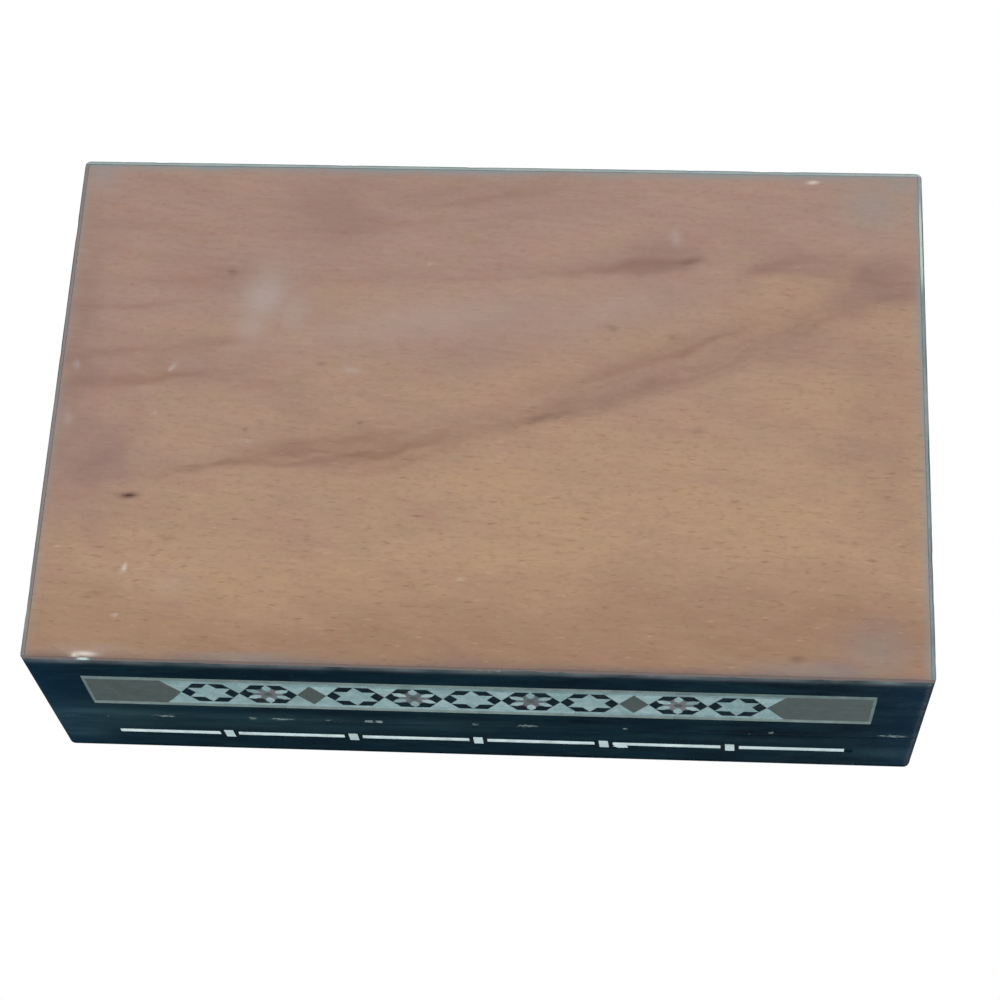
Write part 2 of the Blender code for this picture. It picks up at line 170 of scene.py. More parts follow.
class Finish:
    """A material in the making. What is the same all over is set on the shader's own sockets."""

    def __init__(self, name, **constants):
        self.material = bpy.data.materials.new(name)
        self.material.use_nodes = True
        self.tree = self.material.node_tree
        self.shader = self.tree.nodes["Principled BSDF"]
        for word, value in constants.items():
            self.shader.inputs[word.replace("_", " ")].default_value = value

    def add(self, kind, inputs, output=0, **settings):
        """Adds a node to this material."""
        return add_node(self.tree, kind, inputs, output, **settings)

    def noise(self, size, turn=0.0, detail=3.0, roughness=0.5, seed=0):
        """Noise whose blotches have the given sizes in millimetres, turned about Z."""
        place = self.add("TexCoord", {}, "Object")
        settings = {"Location": (seed, seed, seed), "Rotation": (0, 0, math.radians(turn)),
                    "Scale": [length * MM for length in size]}
        place = self.add("Mapping", {"Vector": place, **settings}, vector_type="TEXTURE")
        return self.add("TexNoise", {"Vector": place, "Scale": 1.0, "Detail": detail,
                                     "Roughness": roughness})

    def field(self, name):
        """A number that the mesh carries at each of its points."""
        return self.add("Attribute", {}, "Fac", attribute_name=name)

    def part(self, value, low, high, least=0.0, most=1.0):
        """Stretches the values between low and high to the range from least to most."""
        return self.add("MapRange", {"Value": value, "From Min": low, "From Max": high,
                                     "To Min": least, "To Max": most})

    def sum(self, one, other):
        """A sum of two values."""
        return self.add("Math", {0: one, 1: other}, operation="ADD")

    def times(self, one, other):
        """A product of two values."""
        return self.add("Math", {0: one, 1: other}, operation="MULTIPLY")

    def layers(self, colour, *rows):
        """Lays colours over a first one, in the rows' order.

        A row gives the value that leads (or the name of one that the mesh carries), where it
        starts and where it is full, how strong it gets, and the colour it lays on. A colour is
        three screen numbers, or a mix made before.
        """
        colour = tint(*colour) if isinstance(colour, tuple) else colour
        for value, low, high, most, over in rows:
            value = self.field(value) if isinstance(value, str) else value
            over = tint(*over) if isinstance(over, tuple) else over
            mix = {0: self.part(value, low, high, 0, most), 6: colour, 7: over}
            colour = self.add("Mix", mix, 2, data_type="RGBA")
        return colour

    def relief(self, height, depth, under=None):
        """Bump of the given depth in millimetres, over any bump under it."""
        inputs = {"Height": height, "Distance": depth * MM, "Strength": 1.0}
        if under is not None:
            inputs["Normal"] = under
        return self.add("Bump", inputs, "Normal")

    def done(self, colour=None, roughness=None, normal=None):
        """Links what was worked out to the shader and gives back the material."""
        for socket, value in (("Base Color", colour), ("Roughness", roughness), ("Normal", normal)):
            if value is not None:
                self.tree.links.new(value, self.shader.inputs[socket])
        return self.material


# %% [markdown]
# ## Meshes, from the ground up
# A new piece is a surface worked out on a grid with numpy. Its points are rows of numbers and its
# faces are arrays of corners, one array for each number of corners.


# %% Make a piece
SHARP_ANGLE = math.radians(35)  # Edges that turn by more than this look sharp.


def volume(points, groups):
    """Six times the space inside: the sum of the tetrahedra from the origin to each face's fan."""
    total = 0.0
    for group in groups:
        corners = points[group]
        fan = np.cross(corners[:, 1:-1], corners[:, 2:])
        total += np.einsum("ij,ikj->", corners[:, 0], fan)
    return total


def make_piece(name, body, slot, finishes, points, groups, replaced=(), kinds=None, **fields):
    """Makes one closed piece of the box, with its finishes and the numbers its points carry."""
    if volume(points, groups) < 0:
        groups = [group[:, ::-1] for group in groups]
    mesh = bpy.data.meshes.new(name)
    corners = np.concatenate([group.ravel() for group in groups])
    sizes = np.concatenate([np.full(len(group), group.shape[1]) for group in groups])
    mesh.vertices.add(len(points))
    mesh.vertices.foreach_set("co", points.astype(np.float32).ravel())
    mesh.loops.add(len(corners))
    mesh.loops.foreach_set("vertex_index", corners.astype(np.int32))
    mesh.polygons.add(len(sizes))
    mesh.polygons.foreach_set("loop_start", (np.cumsum(sizes) - sizes).astype(np.int32))
    if kinds is not None:
        mesh.polygons.foreach_set("material_index", kinds.astype(np.int32))
    mesh.update(calc_edges=True)
    for word, values in fields.items():
        layer = mesh.attributes.new(word, "FLOAT", "POINT")
        layer.data.foreach_set("value", values.astype(np.float32))
    mesh.shade_smooth()
    mesh.set_sharp_from_angle(angle=SHARP_ANGLE)
    for finish in finishes:
        mesh.materials.append(finish)
    piece = bpy.data.objects.new(name, mesh)
    bpy.context.scene.collection.objects.link(piece)
    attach(piece, body)
    if replaced:
        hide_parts(*replaced)
    print(f"{name}: {len(sizes)} faces")
    return piece


# %% Grids, plates and lofts
def grid_line(low, high, step, rounding):
    """Places from low to high, a step apart and closer together over the rounding at both ends."""
    bend = rounding * (1 - np.cos(np.linspace(0, math.pi / 2, 5)[:-1]))
    middle = np.linspace(low + rounding, high - rounding, round((high - low) / step))
    return np.concatenate([low + bend, middle, high - bend[::-1]])


def end_distance(line):
    """How far each place on a grid line is from the line's nearest end."""
    return np.minimum(line - line[0], line[-1] - line)


def rim_distance(across, up):
    """How far each place on a grid is from the nearest edge of the grid."""
    return np.minimum(end_distance(across)[:, None], end_distance(up)[None, :])


def in_millimetres(across, up):
    """The places of a grid as two arrays, in millimetres."""
    return np.meshgrid(across / MM, up / MM, indexing="ij")


def rounded(distance, radius):
    """Depth of a quarter circle's curve: the radius at the edge, and nothing past the radius."""
    lack = np.clip(1 - distance / radius, 0, 1)
    return radius * (1 - np.sqrt(1 - lack ** 2))


def plate(across, up, depth, back):
    """A closed plate: a grid of places at the given depths, a wall round its rim, a flat back.

    Gives its (across, up, depth) rows and its faces. The back's corners come last.
    """
    columns, rows = depth.shape
    front = np.stack([*np.meshgrid(across, up, indexing="ij"), depth], axis=-1).reshape(-1, 3)
    index = np.arange(columns * rows).reshape(columns, rows)
    quads = np.stack([index[:-1, :-1], index[1:, :-1], index[1:, 1:], index[:-1, 1:]], axis=-1)
    rim = np.concatenate([index[:-1, 0], index[-1, :-1], index[:0:-1, -1], index[0, :0:-1]])
    behind = np.arange(len(rim)) + len(front)
    walls = np.stack([rim, behind, np.roll(behind, -1), np.roll(rim, -1)], axis=-1)
    back_rows = front[rim]
    back_rows[:, 2] = back
    return np.concatenate([front, back_rows]), [quads.reshape(-1, 4), walls, behind[None, ::-1]]


def carried(field, rows):
    """A grid's numbers in one line, with noughts for the points of the plate's back."""
    return np.concatenate([field.ravel(), np.zeros(len(rows) - field.size)])


def loft(sections, ring=False):
    """Joins closed profiles, given as (bars, sections, places, 3), with caps unless it is a ring."""
    index = np.arange(sections[..., 0].size).reshape(sections.shape[:3])
    beside = np.roll(index, -1, axis=2)
    if ring:
        after, beside_after = np.roll(index, -1, axis=1), np.roll(beside, -1, axis=1)
        quads = np.stack([index, beside, beside_after, after], axis=-1)
        return sections.reshape(-1, 3), [quads.reshape(-1, 4)]
    quads = np.stack([index[:, :-1], beside[:, :-1], beside[:, 1:], index[:, 1:]], axis=-1)
    groups = [quads.reshape(-1, 4), index[:, 0, ::-1], index[:, -1, :]]
    return sections.reshape(-1, 3), groups


# %% Smooth noise
def value_noise(x, y, cell_x, cell_y, seed):
    """Smooth noise from -1 to 1: random numbers on a lattice, eased between the four nearest."""
    period = 128  # The lattice repeats after this many cells.
    table = np.random.default_rng(seed).uniform(-1, 1, (period, period))
    across, up = np.asarray(x) / cell_x, np.asarray(y) / cell_y
    column, row = np.floor(across).astype(int), np.floor(up).astype(int)
    ease_x, ease_y = across - column, up - row
    ease_x, ease_y = (ease * ease * (3 - 2 * ease) for ease in (ease_x, ease_y))
    near, far = (table[column % period, level % period] * (1 - ease_x)
                 + table[(column + 1) % period, level % period] * ease_x for level in (row, row + 1))
    return near * (1 - ease_y) + far * ease_y


def rough_noise(x, y, cell_x, cell_y, seed, layers=4):
    """Noise with finer noise on it: each layer has cells and a strength half those of the last."""
    total = 0
    for layer in range(layers):
        share = 0.5 ** layer
        total = total + share * value_noise(x, y, cell_x * share, cell_y * share, seed + layer)
    return total


# %% [markdown]
# ## The wooden underside
# The large face in the photograph is a plain board of warm brown beech, worn smooth. Dark figure
# runs across it in long slanting streaks, one of them ending in a knot. It has a pale smudge, a
# sharp dent, tiny marks and a smear of something white in one corner. A streak is a curve that
# gives Y for each X, with a strength and a width along it. A mark is a soft round or oval spot.
# They are worked out on a fine grid, and the mesh carries them to the shader as numbers.

# %% Streaks and marks
STREAKS = [
    # X, Y, strength and half width along each streak, in millimetres but for the strength
    [(72, -17.5, 0.1, 1.2), (58, -14.6, 0.6, 1.2), (46, -12.4, 0.6, 1.3), (37, -11.0, 0.9, 2.2),
     (27, -11.0, 1.05, 3.2), (16, -10.3, 0.75, 4.0), (9, -7.8, 0.6, 2.8), (2, -4.6, 0.25, 2.6),
     (-5, -3.0, 0.45, 2.4), (-9, -2.2, 0.58, 1.9), (-14, -0.4, 0.85, 1.6), (-18, 0.6, 0.5, 2.2),
     (-26, 4.2, 0.5, 2.8), (-30, 5.2, 0.65, 2.6), (-38, 7.2, 0.6, 2.2), (-44, 10.2, 0.45, 2.6),
     (-50, 14.2, 0.5, 2.2), (-58, 18.0, 0.35, 2.4), (-68, 22.4, 0.35, 3.0), (-80, 26.0, 0.35, 2.6)],
    [(2, 0.0, 0.0, 1.0), (-10, 3.6, 0.3, 1.2), (-22, 8.0, 0.4, 1.3), (-36, 12.6, 0.5, 1.4),
     (-46, 17.0, 0.35, 1.6), (-54, 20.0, 0.0, 1.5)],
    [(30, 25.8, 0.2, 1.6), (10, 26.8, 0.2, 1.6), (-8, 27.6, 0.2, 1.2), (-16, 28.8, 0.35, 1.1),
     (-22, 29.6, 0.6, 1.2), (-30, 30.4, 1.0, 1.9), (-36, 31.2, 0.8, 1.8), (-40, 32.6, 0.0, 1.0)],
    [(-44, 28.0, 0.0, 1.2), (-50, 29.6, 0.5, 1.2), (-60, 30.6, 0.5, 1.8), (-74, 27.5, 0.4, 2.2),
     (-80, 27.0, 0.3, 2.0)],
    [(80, 9.4, 0.4, 1.2), (66, 10.8, 0.5, 1.0), (50, 12.0, 0.45, 0.9), (40, 13.4, 0.0, 0.9)],
    [(80, 3.4, 0.7, 1.0), (66, 3.8, 0.7, 0.9), (54, 5.4, 0.45, 0.8), (43, 6.6, 0.0, 0.8)],
    [(80, 19.5, 0.3, 1.0), (64, 20.0, 0.3, 0.8), (52, 21.5, 0.0, 0.8)],
    [(24, 43.0, 0.0, 2.0), (12, 43.0, 0.35, 1.6), (-2, 45.2, 0.4, 1.8), (-16, 48.4, 0.0, 2.0)],
    [(34, 37.0, 0.2, 2.0), (8, 38.5, 0.25, 1.6), (-6, 41.0, 0.15, 1.6), (-16, 43.0, 0.0, 1.6)],
    [(30, -5.0, 0.0, 0.6), (24, -4.2, 0.4, 0.6), (16, -3.6, 0.0, 0.6)],
    [(-46, 12.0, 0.0, 0.7), (-51, 11.5, 0.55, 0.7), (-57, 11.2, 0.0, 0.7)],
]
PURPLE_SPOTS = [
    # X, Y, half width across and up, turn in degrees, and strength
    (31, 41, 8.0, 8.0, 20, 0.35), (-70, 27, 8.0, 5.0, -20, 0.6), (71, -12.5, 5.5, 7.0, 20, 0.6),
    (69, -24, 5.0, 5.0, 0, 0.3), (62, 46, 10.0, 3.0, 0, 0.2), (48, 27, 7.0, 4.0, 0, 0.25),
    (-58, 17, 9.0, 4.0, -30, 0.3), (60, 8, 18.0, 5.0, 0, 0.3), (1, -48.5, 5.0, 1.2, 8, 0.4),
    (-62, -48.0, 4.0, 1.4, 0, 0.6), (77, 3, 4.5, 36, 0, 0.45), (-70, -44, 7.0, 5.0, 10, 0.3),
    (12, 46, 20.0, 2.6, 0, 0.2), (40, 21, 14.0, 9.0, 0, 0.15), (-5, 14, 34.0, 6.0, -16, 0.2),
    (-72, -10, 6.0, 24.0, 0, 0.3), (-40, -34, 14.0, 7.0, 10, 0.2), (20, -20, 16.0, 4.0, 0, 0.1),
]
PALE_SPOTS = [
    (42.5, 22.5, 4.2, 6.0, 15, 0.65), (42.0, 24.5, 2.0, 3.0, 0, 0.5), (44.8, 16.4, 3.2, 4.4, 20, 0.42),
    (37, 19.0, 3.0, 4.0, 0, 0.35), (76, 48, 3.0, 2.6, 0, 0.2), (-33.8, 36.2, 0.9, 1.5, 0, 0.45),
    (25.5, 7.3, 1.6, 0.7, 0, 0.5), (58.5, 7.2, 0.35, 0.8, 30, 0.8), (76.8, 6.8, 0.5, 1.0, 0, 0.5),
    (77, -3.7, 0.9, 1.9, 0, 0.4), (43.5, -8.0, 0.7, 0.4, 0, 0.5), (10, 18, 26.0, 4.0, -8, 0.25),
    (-20, 20, 16.0, 4.0, -14, 0.2), (68, -49.2, 8.0, 1.0, 0, 0.3), (54, -36, 4.0, 3.0, 0, 0.15),
]
DARK_SPOTS = [
    (64, -19.2, 1.6, 0.5, -4, 1.0), (49.2, 27.4, 0.9, 0.6, 25, 0.35), (-22.3, 17.0, 1.5, 0.6, 25, 0.3),
    (-33.5, 15.2, 0.8, 0.5, 10, 0.35), (-38.5, -3.8, 1.2, 0.7, -10, 0.25),
    (-9.5, -2.0, 2.6, 0.7, -20, 0.3), (31, 8.4, 0.7, 0.4, 0, 0.35), (-37, 31.6, 2.0, 0.7, -15, 0.3),
    (47, -11.8, 1.8, 0.5, -12, 0.2), (44, -5.5, 0.5, 0.4, 0, 0.35), (23, -3.6, 0.6, 0.3, 0, 0.4),
    (-56, -47.5, 1.4, 0.6, 0, 0.4), (56, -27.5, 1.2, 0.35, 0, 0.3), (68, -38.5, 1.4, 0.4, 0, 0.3),
]
CHIPS = [
    (63.4, -33.5, 0.3, 0.75, 10, 1.0), (-59.5, 49.1, 1.3, 0.2, -8, 0.8), (61, -2.2, 0.3, 0.3, 0, 0.4),
    (59, 6.8, 0.2, 0.35, 0, 0.4), (64, -42.5, 0.45, 0.2, 0, 0.4), (68.5, -49.95, 1.9, 0.42, 2, 1.0),
    (70.2, -50.2, 0.6, 0.5, 0, 1.0),
    (12, 30, 0.5, 0.2, -15, 0.3), (3, -34, 0.7, 0.2, -10, 0.3), (-29, -26, 0.8, 0.2, -10, 0.3),
]
GREY_SPOTS = [
    (-71, 44, 6.0, 6.0, 10, 0.35), (-76, 49, 4.0, 3.0, 0, 0.4), (-70, -46, 6.0, 5.0, 0, 0.25),
    (77, 49, 4.0, 3.0, 0, 0.35), (-60, -49.5, 12.0, 1.6, 0, 0.3), (40, -50, 12.0, 1.2, 0, 0.3),
]
# Shares of a streak's width, below and above its middle.
HEART_WIDTHS, HAZE_WIDTHS = (0.8, 1.35), (1.0, 3.2)
# How grey the rim of the wood is along each side, and over how many millimetres it fades.
RIMS = {"back": (1.05, 1.6), "left": (1.15, 1.4), "right": (0.5, 1.3)}


# %% Spots and streaks as fields
def spots(x, y, table):
    """The strongest of a table's oval spots at each place: a bell curve about each middle."""
    total = np.zeros(np.broadcast(x, y).shape)
    for middle_x, middle_y, wide, high, turn, strength in table:
        angle = math.radians(turn)
        across = (x - middle_x) * math.cos(angle) + (y - middle_y) * math.sin(angle)
        up = (y - middle_y) * math.cos(angle) - (x - middle_x) * math.sin(angle)
        total = np.maximum(total, strength * np.exp(-(across / wide) ** 2 - (up / high) ** 2))
    return total


def streaks(x, y, ragged):
    """The dark heart and the wide haze of the strongest streak at each place.

    Both are bell curves across the streak, sharper on its lower edge. Noise that is long along
    the streak and short across it splits the heart into strands.
    """
    heart, haze = np.zeros(np.broadcast(x, y).shape), np.zeros(np.broadcast(x, y).shape)
    for number, line in enumerate(STREAKS):
        along, height, strength, width = np.array(sorted(line)).T
        away = y - np.interp(x, along, height) + ragged
        strength, width = np.interp(x, along, strength), np.interp(x, along, width)
        narrow, wide = (np.exp(-(away / (width * np.where(away < 0, *shares))) ** 2)
                        for shares in (HEART_WIDTHS, HAZE_WIDTHS))
        strands = 0.62 + 0.5 * rough_noise(x, away, 12, 1.1, 31 + 7 * number)
        heart = np.maximum(heart, strength * narrow * strands)
        haze = np.maximum(haze, strength * wide)
    return heart, haze


# %% The underside's finish
def underside_finish():
    """Worn beech: long figure, dark flecks that are partly painted shade, pale flecks that are painted
    highlights, and the streaks and marks that the mesh carries.
    """
    finish = Finish("underside_beech", Specular_IOR_Level=0.2)
    clouds = finish.noise((26, 12, 20), turn=8, detail=5, roughness=0.55)
    mottle = finish.noise((5, 3, 3), turn=6, detail=4, roughness=0.6, seed=23)
    figure = finish.noise((30, 3.4, 4), turn=7, detail=6, roughness=0.65, seed=3)
    strand = finish.noise((6, 1.1, 2), turn=3, detail=4, roughness=0.6, seed=13)
    fleck = finish.noise((2.7, 0.62, 1), turn=2, detail=2, seed=7)
    painted_fleck_highlight = finish.noise((3.0, 0.6, 1), detail=2, seed=11)
    speckle = finish.noise((1.4, 0.8, 0.8), detail=2, seed=17)
    grain = finish.noise((7, 0.5, 1), turn=3, detail=4, roughness=0.65, seed=5)
    drift = finish.part(clouds, 0.3, 0.7, -0.3, 0.3)
    lower = finish.part(finish.field("blush"), 0.05, 0.8, 0.9, 0.3)
    # Dark flecks: partly the wood's own flecks, partly painted shade of their relief. Pale flecks:
    # painted highlights of that relief.
    dark_fleck_and_shade = finish.times(finish.part(fleck, 0.6, 0.82, 0, 0.9), lower)
    painted_fleck_highlight = finish.times(finish.part(painted_fleck_highlight, 0.64, 0.9), lower)
    pale = finish.times(finish.field("pale"), finish.part(speckle, 0.3, 0.7, 0.7, 1.0))
    ragged = finish.part(speckle, 0.3, 0.7, 0.85, 1.15)
    colour = finish.layers(
        (182, 150, 120),
        (finish.sum(finish.field("blush"), drift), 0, 1, 1, (169, 140, 128)),
        (finish.sum(finish.field("umber"), drift), 0, 1, 1, (159, 126, 101)),
        (mottle, 0.5, 0.72, 0.4, (172, 132, 116)), (mottle, 0.5, 0.28, 0.35, (162, 138, 110)),
        (figure, 0.5, 0.75, 0.2, (146, 112, 94)), (figure, 0.45, 0.25, 0.15, (194, 162, 134)),
        (strand, 0.52, 0.74, 0.2, (142, 108, 92)), (strand, 0.46, 0.26, 0.17, (196, 166, 140)),
        ("purple", 0, 1, 1, (138, 109, 107)), ("streak", 0, 1, 0.9, (132, 97, 82)),
        (dark_fleck_and_shade, 0, 1, 1, (136, 102, 82)), (painted_fleck_highlight, 0, 1, 1, (200, 169, 141)),
        (speckle, 0.52, 0.78, 0.35, (146, 113, 94)), (pale, 0, 1, 1, (184, 172, 168)),
        (finish.times(finish.field("shade"), ragged), 0, 1, 1, (102, 94, 98)),
        (finish.times(finish.field("rim"), ragged), 0, 1, 1, (138, 147, 150)),
        ("stain", 0, 1, 1, (62, 38, 36)), ("chip", 0, 1, 1, (228, 216, 206)))
    normal = finish.relief(dark_fleck_and_shade, -0.05, finish.relief(grain, 0.04))
    return finish.done(colour, finish.part(grain, 0.3, 0.7, 0.5, 0.66), normal)


# %% The underside
UNDERSIDE_GAP, UNDERSIDE_STEP, UNDERSIDE_ROUNDING = 0.02 * MM, 0.6 * MM, 0.4 * MM
# More rows near the front edge, for the residue's sharp outline.
FRONT_ROWS_START, FRONT_ROW_STEP, FRONT_ROWS = 0.5 * MM, 0.2 * MM, 9
# Depths in millimetres: a slight hollow, its waves, the dent and the sunken streaks.
HOLLOW, WAVE, DENT, SUNKEN = 0.04, 0.02, 0.3, 0.03
# The wood's front rim is darkened by painted shade.
SHADE, SHADE_FADE = 0.65, 1.6  # The front rim's shade and how many millimetres it fades over.


def underside():
    """A plate whose depth is a slight hollow plus its rounded rim, dents and worn spots."""
    half_x, half_y = HALF_LENGTH - SKIN - UNDERSIDE_GAP, HALF_DEPTH - SKIN - UNDERSIDE_GAP
    across = grid_line(-half_x, half_x, UNDERSIDE_STEP, UNDERSIDE_ROUNDING)
    up = grid_line(-half_y, half_y, UNDERSIDE_STEP, UNDERSIDE_ROUNDING)
    front_rows = FRONT_ROWS_START - half_y + FRONT_ROW_STEP * np.arange(FRONT_ROWS)
    up = np.sort(np.append(up, front_rows))
    x, y = in_millimetres(across, up)
    heart, haze = streaks(x, y, rough_noise(x, y, 9, 3.5, 21) * 0.8)
    wander_x, wander_y = rough_noise(x, y, 8, 5, 41), rough_noise(x, y, 8, 5, 51)
    purple = spots(x + 2.5 * wander_x, y + 1.6 * wander_y, PURPLE_SPOTS)
    purple = np.maximum(purple, 0.5 * haze * np.clip((22 - x) / 50, 0.1, 1))
    pale = spots(x + 0.5 * wander_x, y + 0.5 * wander_y, PALE_SPOTS)
    stain, chip = spots(x, y, DARK_SPOTS), spots(x, y, CHIPS)
    # The wood is pinker towards the back and the right, and browner towards the front.
    blush = 0.3 + (y + 12) / 75 + x / 260 + 0.15 * rough_noise(x, y, 30, 12, 61)
    umber = (-y - 30 - 0.06 * x) / 16 + 0.2 * rough_noise(x, y, 24, 9, 91)
    patchy = 1 + 0.35 * rough_noise(x, y, 7, 7, 95)
    away = {"back": HALF_DEPTH / MM - y, "left": HALF_LENGTH / MM + x, "right": HALF_LENGTH / MM - x}
    rim = [tone * patchy * np.exp(-(away[side] / fade) ** 2) for side, (tone, fade) in RIMS.items()]
    rim = np.maximum(np.max(rim, axis=0), spots(x, y, GREY_SPOTS))
    shade = SHADE * patchy * np.exp(-((HALF_DEPTH / MM + y) / SHADE_FADE) ** 2)
    distance = rim_distance(across, up)
    waves = rough_noise(x, y, 26, 9, 71, layers=5) * (1 - np.exp(-distance / MM))
    dents = DENT * np.maximum(stain - 0.5, 0) + SUNKEN * heart
    depth = rounded(distance, 0.06 * MM) + MM * (HOLLOW + WAVE * waves + dents)
    rows, groups = plate(across, up, depth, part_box("base_board")[1].z)
    fields = {"streak": heart, "purple": purple, "pale": pale, "stain": stain, "chip": chip,
              "blush": blush, "umber": umber, "rim": rim, "shade": shade}
    fields = {word: carried(np.clip(field, 0, 1), rows) for word, field in fields.items()}
    make_piece("underside_wood", "body", "beech", [underside_finish()], rows, groups,
               ["base_board"], **fields)


underside()

# %% [markdown]
# ## Boards of beech
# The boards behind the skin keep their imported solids. Only their edges show, when the lid is
# open. The grain runs along each board, so there is one finish along X and one along Y.


# %% Beech for the boards
def beech(name, along_y):
    """Plain beech: long pale and dark figure with short dark flecks, along X or along Y."""
    turn = 90 if along_y else 0
    finish = Finish(name, Specular_IOR_Level=0.3)
    figure = finish.noise((26, 1.8, 1.8), turn, detail=4, roughness=0.6)
    fleck = finish.noise((1.6, 0.2, 0.2), turn, detail=1, seed=2)
    fleck = finish.part(fleck, 0.6, 0.75, 0, 0.5)
    grime = finish.noise((14, 14, 14), detail=5, seed=4)
    colour = finish.layers((186, 148, 112), (figure, 0.3, 0.7, 1, (158, 120, 88)),
                           (fleck, 0, 1, 1, (112, 78, 56)), (grime, 0.5, 0.75, 0.35, (104, 80, 64)))
    return finish.done(colour, finish.part(grime, 0.3, 0.7, 0.5, 0.7), finish.relief(fleck, -0.04))


def assign(names, material):
    """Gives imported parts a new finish."""
    for name in names:
        nodes[name].data.materials.clear()
        nodes[name].data.materials.append(material)


for words, along_y in (("front back top", False), ("left right", True)):
    ends = tuple(f"_{word}_{kind}" for word in words.split() for kind in ("board", "rail"))
    names = [name for name in nodes if name.endswith(ends)]
    assign(names, beech("beech_along_y" if along_y else "beech_along_x", along_y))
print("beech on the boards")

# %% [markdown]
# ## The black skin
# The sides are faced with thin strips of black lacquered wood. They have a cool, slightly green
# black, with rubbed edges. The cut lower edge of each strip shows round the underside as a thin
# pale rim with dark nicks, with a painted highlight along part of the left one and painted shade
# that keeps the front one darker. Along the seam small flakes have broken out of the body's edge,
# and pale wood shows in them. A thin pale haze lies on the front, partly dust and partly painted
# light. Each strip is a plate with its rims rounded, and the mesh carries how bare or worn each
# point is, and its dust and painted light.


# %% Lacquer
def lacquer():
    """Cool black, mottled, dull where handled, bare where the mesh says so, with dust and painted
    light, and a painted highlight on the cut face.
    """
    finish = Finish("black_lacquer", Specular_IOR_Level=0.05)
    cloud = finish.noise((14, 14, 6), detail=5, roughness=0.6)
    smear = finish.noise((12, 12, 2.2), detail=5, roughness=0.65, seed=15)
    speck = finish.noise((0.7, 0.7, 0.7), detail=2, seed=3)
    crumble = finish.noise((1.1, 1.1, 0.5), detail=4, roughness=0.7, seed=5)
    cut = finish.noise((7, 7, 7), detail=5, roughness=0.65, seed=19)
    grain = finish.noise((5, 5, 0.4), detail=4, roughness=0.7, seed=9)
    bare = finish.sum(finish.field("bare"), finish.part(crumble, 0.25, 0.75, -0.35, 0.35))
    bare = finish.part(bare, 0.42, 0.62)
    wood = finish.layers((74, 98, 104), (crumble, 0.35, 0.65, 1, (128, 146, 146)))
    # The pale cut face; where core is above 0.8, a painted highlight is laid over it.
    core = finish.layers(
        (118, 134, 138),
        (cut, 0.3, 0.7, 1, (156, 166, 168)), (cut, 0.64, 0.74, 0.5, (196, 204, 200)),
        ("core", 0.8, 1, 1, (196, 214, 206)), ("warm", 0, 1, 1, (146, 130, 124)))
    colour = finish.layers(
        (0, 17, 30),
        (cloud, 0.32, 0.68, 1, (2, 33, 45)), ("cool", 0, 1, 1, (0, 35, 55)),
        # The pale haze: partly dust, partly painted light.
        ("dust", 0, 1, 1, (98, 142, 148)), (smear, 0.5, 0.8, 0.5, (26, 56, 62)),
        (speck, 0.64, 0.8, 0.35, (34, 72, 80)), (bare, 0, 1, 1, wood), ("core", 0, 0.8, 1, core))
    normal = finish.relief(bare, -0.08, finish.relief(grain, 0.02))
    return finish.done(colour, finish.part(cloud, 0.3, 0.7, 0.22, 0.34), normal)


BLACK_LACQUER = lacquer()

# %% Sizes and wear of the skin
SKIN_INSET, SKIN_STEP, EDGE_ROUNDING = 0.05 * MM, 0.5 * MM, 0.3 * MM
CORNER_RADIUS, CORNER_TRIM = 1.3 * MM, 0.13 * MM
SLOT_DEPTH, SLOT_WALL, SLOT_LIP = 0.35 * MM, 0.02 * MM, 0.25 * MM
STRING_SLOT, STRING_EASE = 1.0 * MM, 0.1 * MM
SEAM_TRIM, VENEER_TRIM = 0.03 * MM, 0.04 * MM
# Depths in millimetres: the polish's waves, a nick, a flake, and the most that both come to.
POLISH_WAVE, NICK_DEPTH, FLAKE_DEPTH, DEEPEST = 0.012, 0.2, 0.1, 0.2
# Reaches in millimetres: nicks and rubbing from a rim, flakes from the seam, rubbing up the lid,
# wear up from the cut face, and the corners' cool tone.
NICK_REACH, RUB_REACH, FLAKE_REACH, LID_RUB, WEAR_REACH, COOL_REACH = 0.5, 0.35, 0.9, 3, 1.05, 8
# How worn each side's lower edge is: on its cut face, above it, and how brown the cut face is.
# The front's cut face shows less of its pale colour than the others, a painted shade.
EDGE_WEAR_AND_SHADE = {"front": (0.52, 0.2, 1.0), "back": (0.87, 0.4, 0.0), "left": (0.76, 0.4, 0.1),
             "right": (0.76, 0.4, 0.8)}
# A pale haze on the front, partly dust and partly painted light.
DUST_AND_LIGHT = [
    # X, Z, half width across and up, turn in degrees, and strength, on the front
    (74, 27.0, 26, 3.4, 0, 0.13), (40, 27.0, 24, 2.4, 0, 0.1), (12, 28, 20, 3.5, 0, 0.06),
    (72, 32, 16, 3.4, 0, 0.1), (40, 31.5, 30, 2.6, 0, 0.06), (72, 22, 22, 4, 0, 0.04),
    (76, 37, 6, 3, 0, 0.1), (-74, 36.5, 6, 2.4, 0, 0.1), (-50, 31.5, 20, 1.6, 0, 0.03),
]
SMEAR_PLACE, SMEAR_HALF = 68.7, 1.6  # The residue on the front's cut edge, in millimetres.
# A painted highlight on the left's cut edge:
HIGHLIGHT_STRETCH = (-36, 10, 0.25)  # Middle, half width and strength, on the left's cut edge.
SEAM_FLAKES = [
    # Middle and half width along the front, and strength, in millimetres but for the strength
    (59, 3.0, 0.6), (42.3, 0.9, 0.75), (36.5, 3.2, 0.6), (28, 0.8, 0.6), (20.6, 0.9, 1.0),
    (18.9, 0.9, 0.9), (1, 0.9, 0.55), (-8.5, 2.4, 0.65), (-26.5, 0.8, 0.6), (-53, 0.7, 0.6),
    (-74.8, 3.4, 0.6),
]


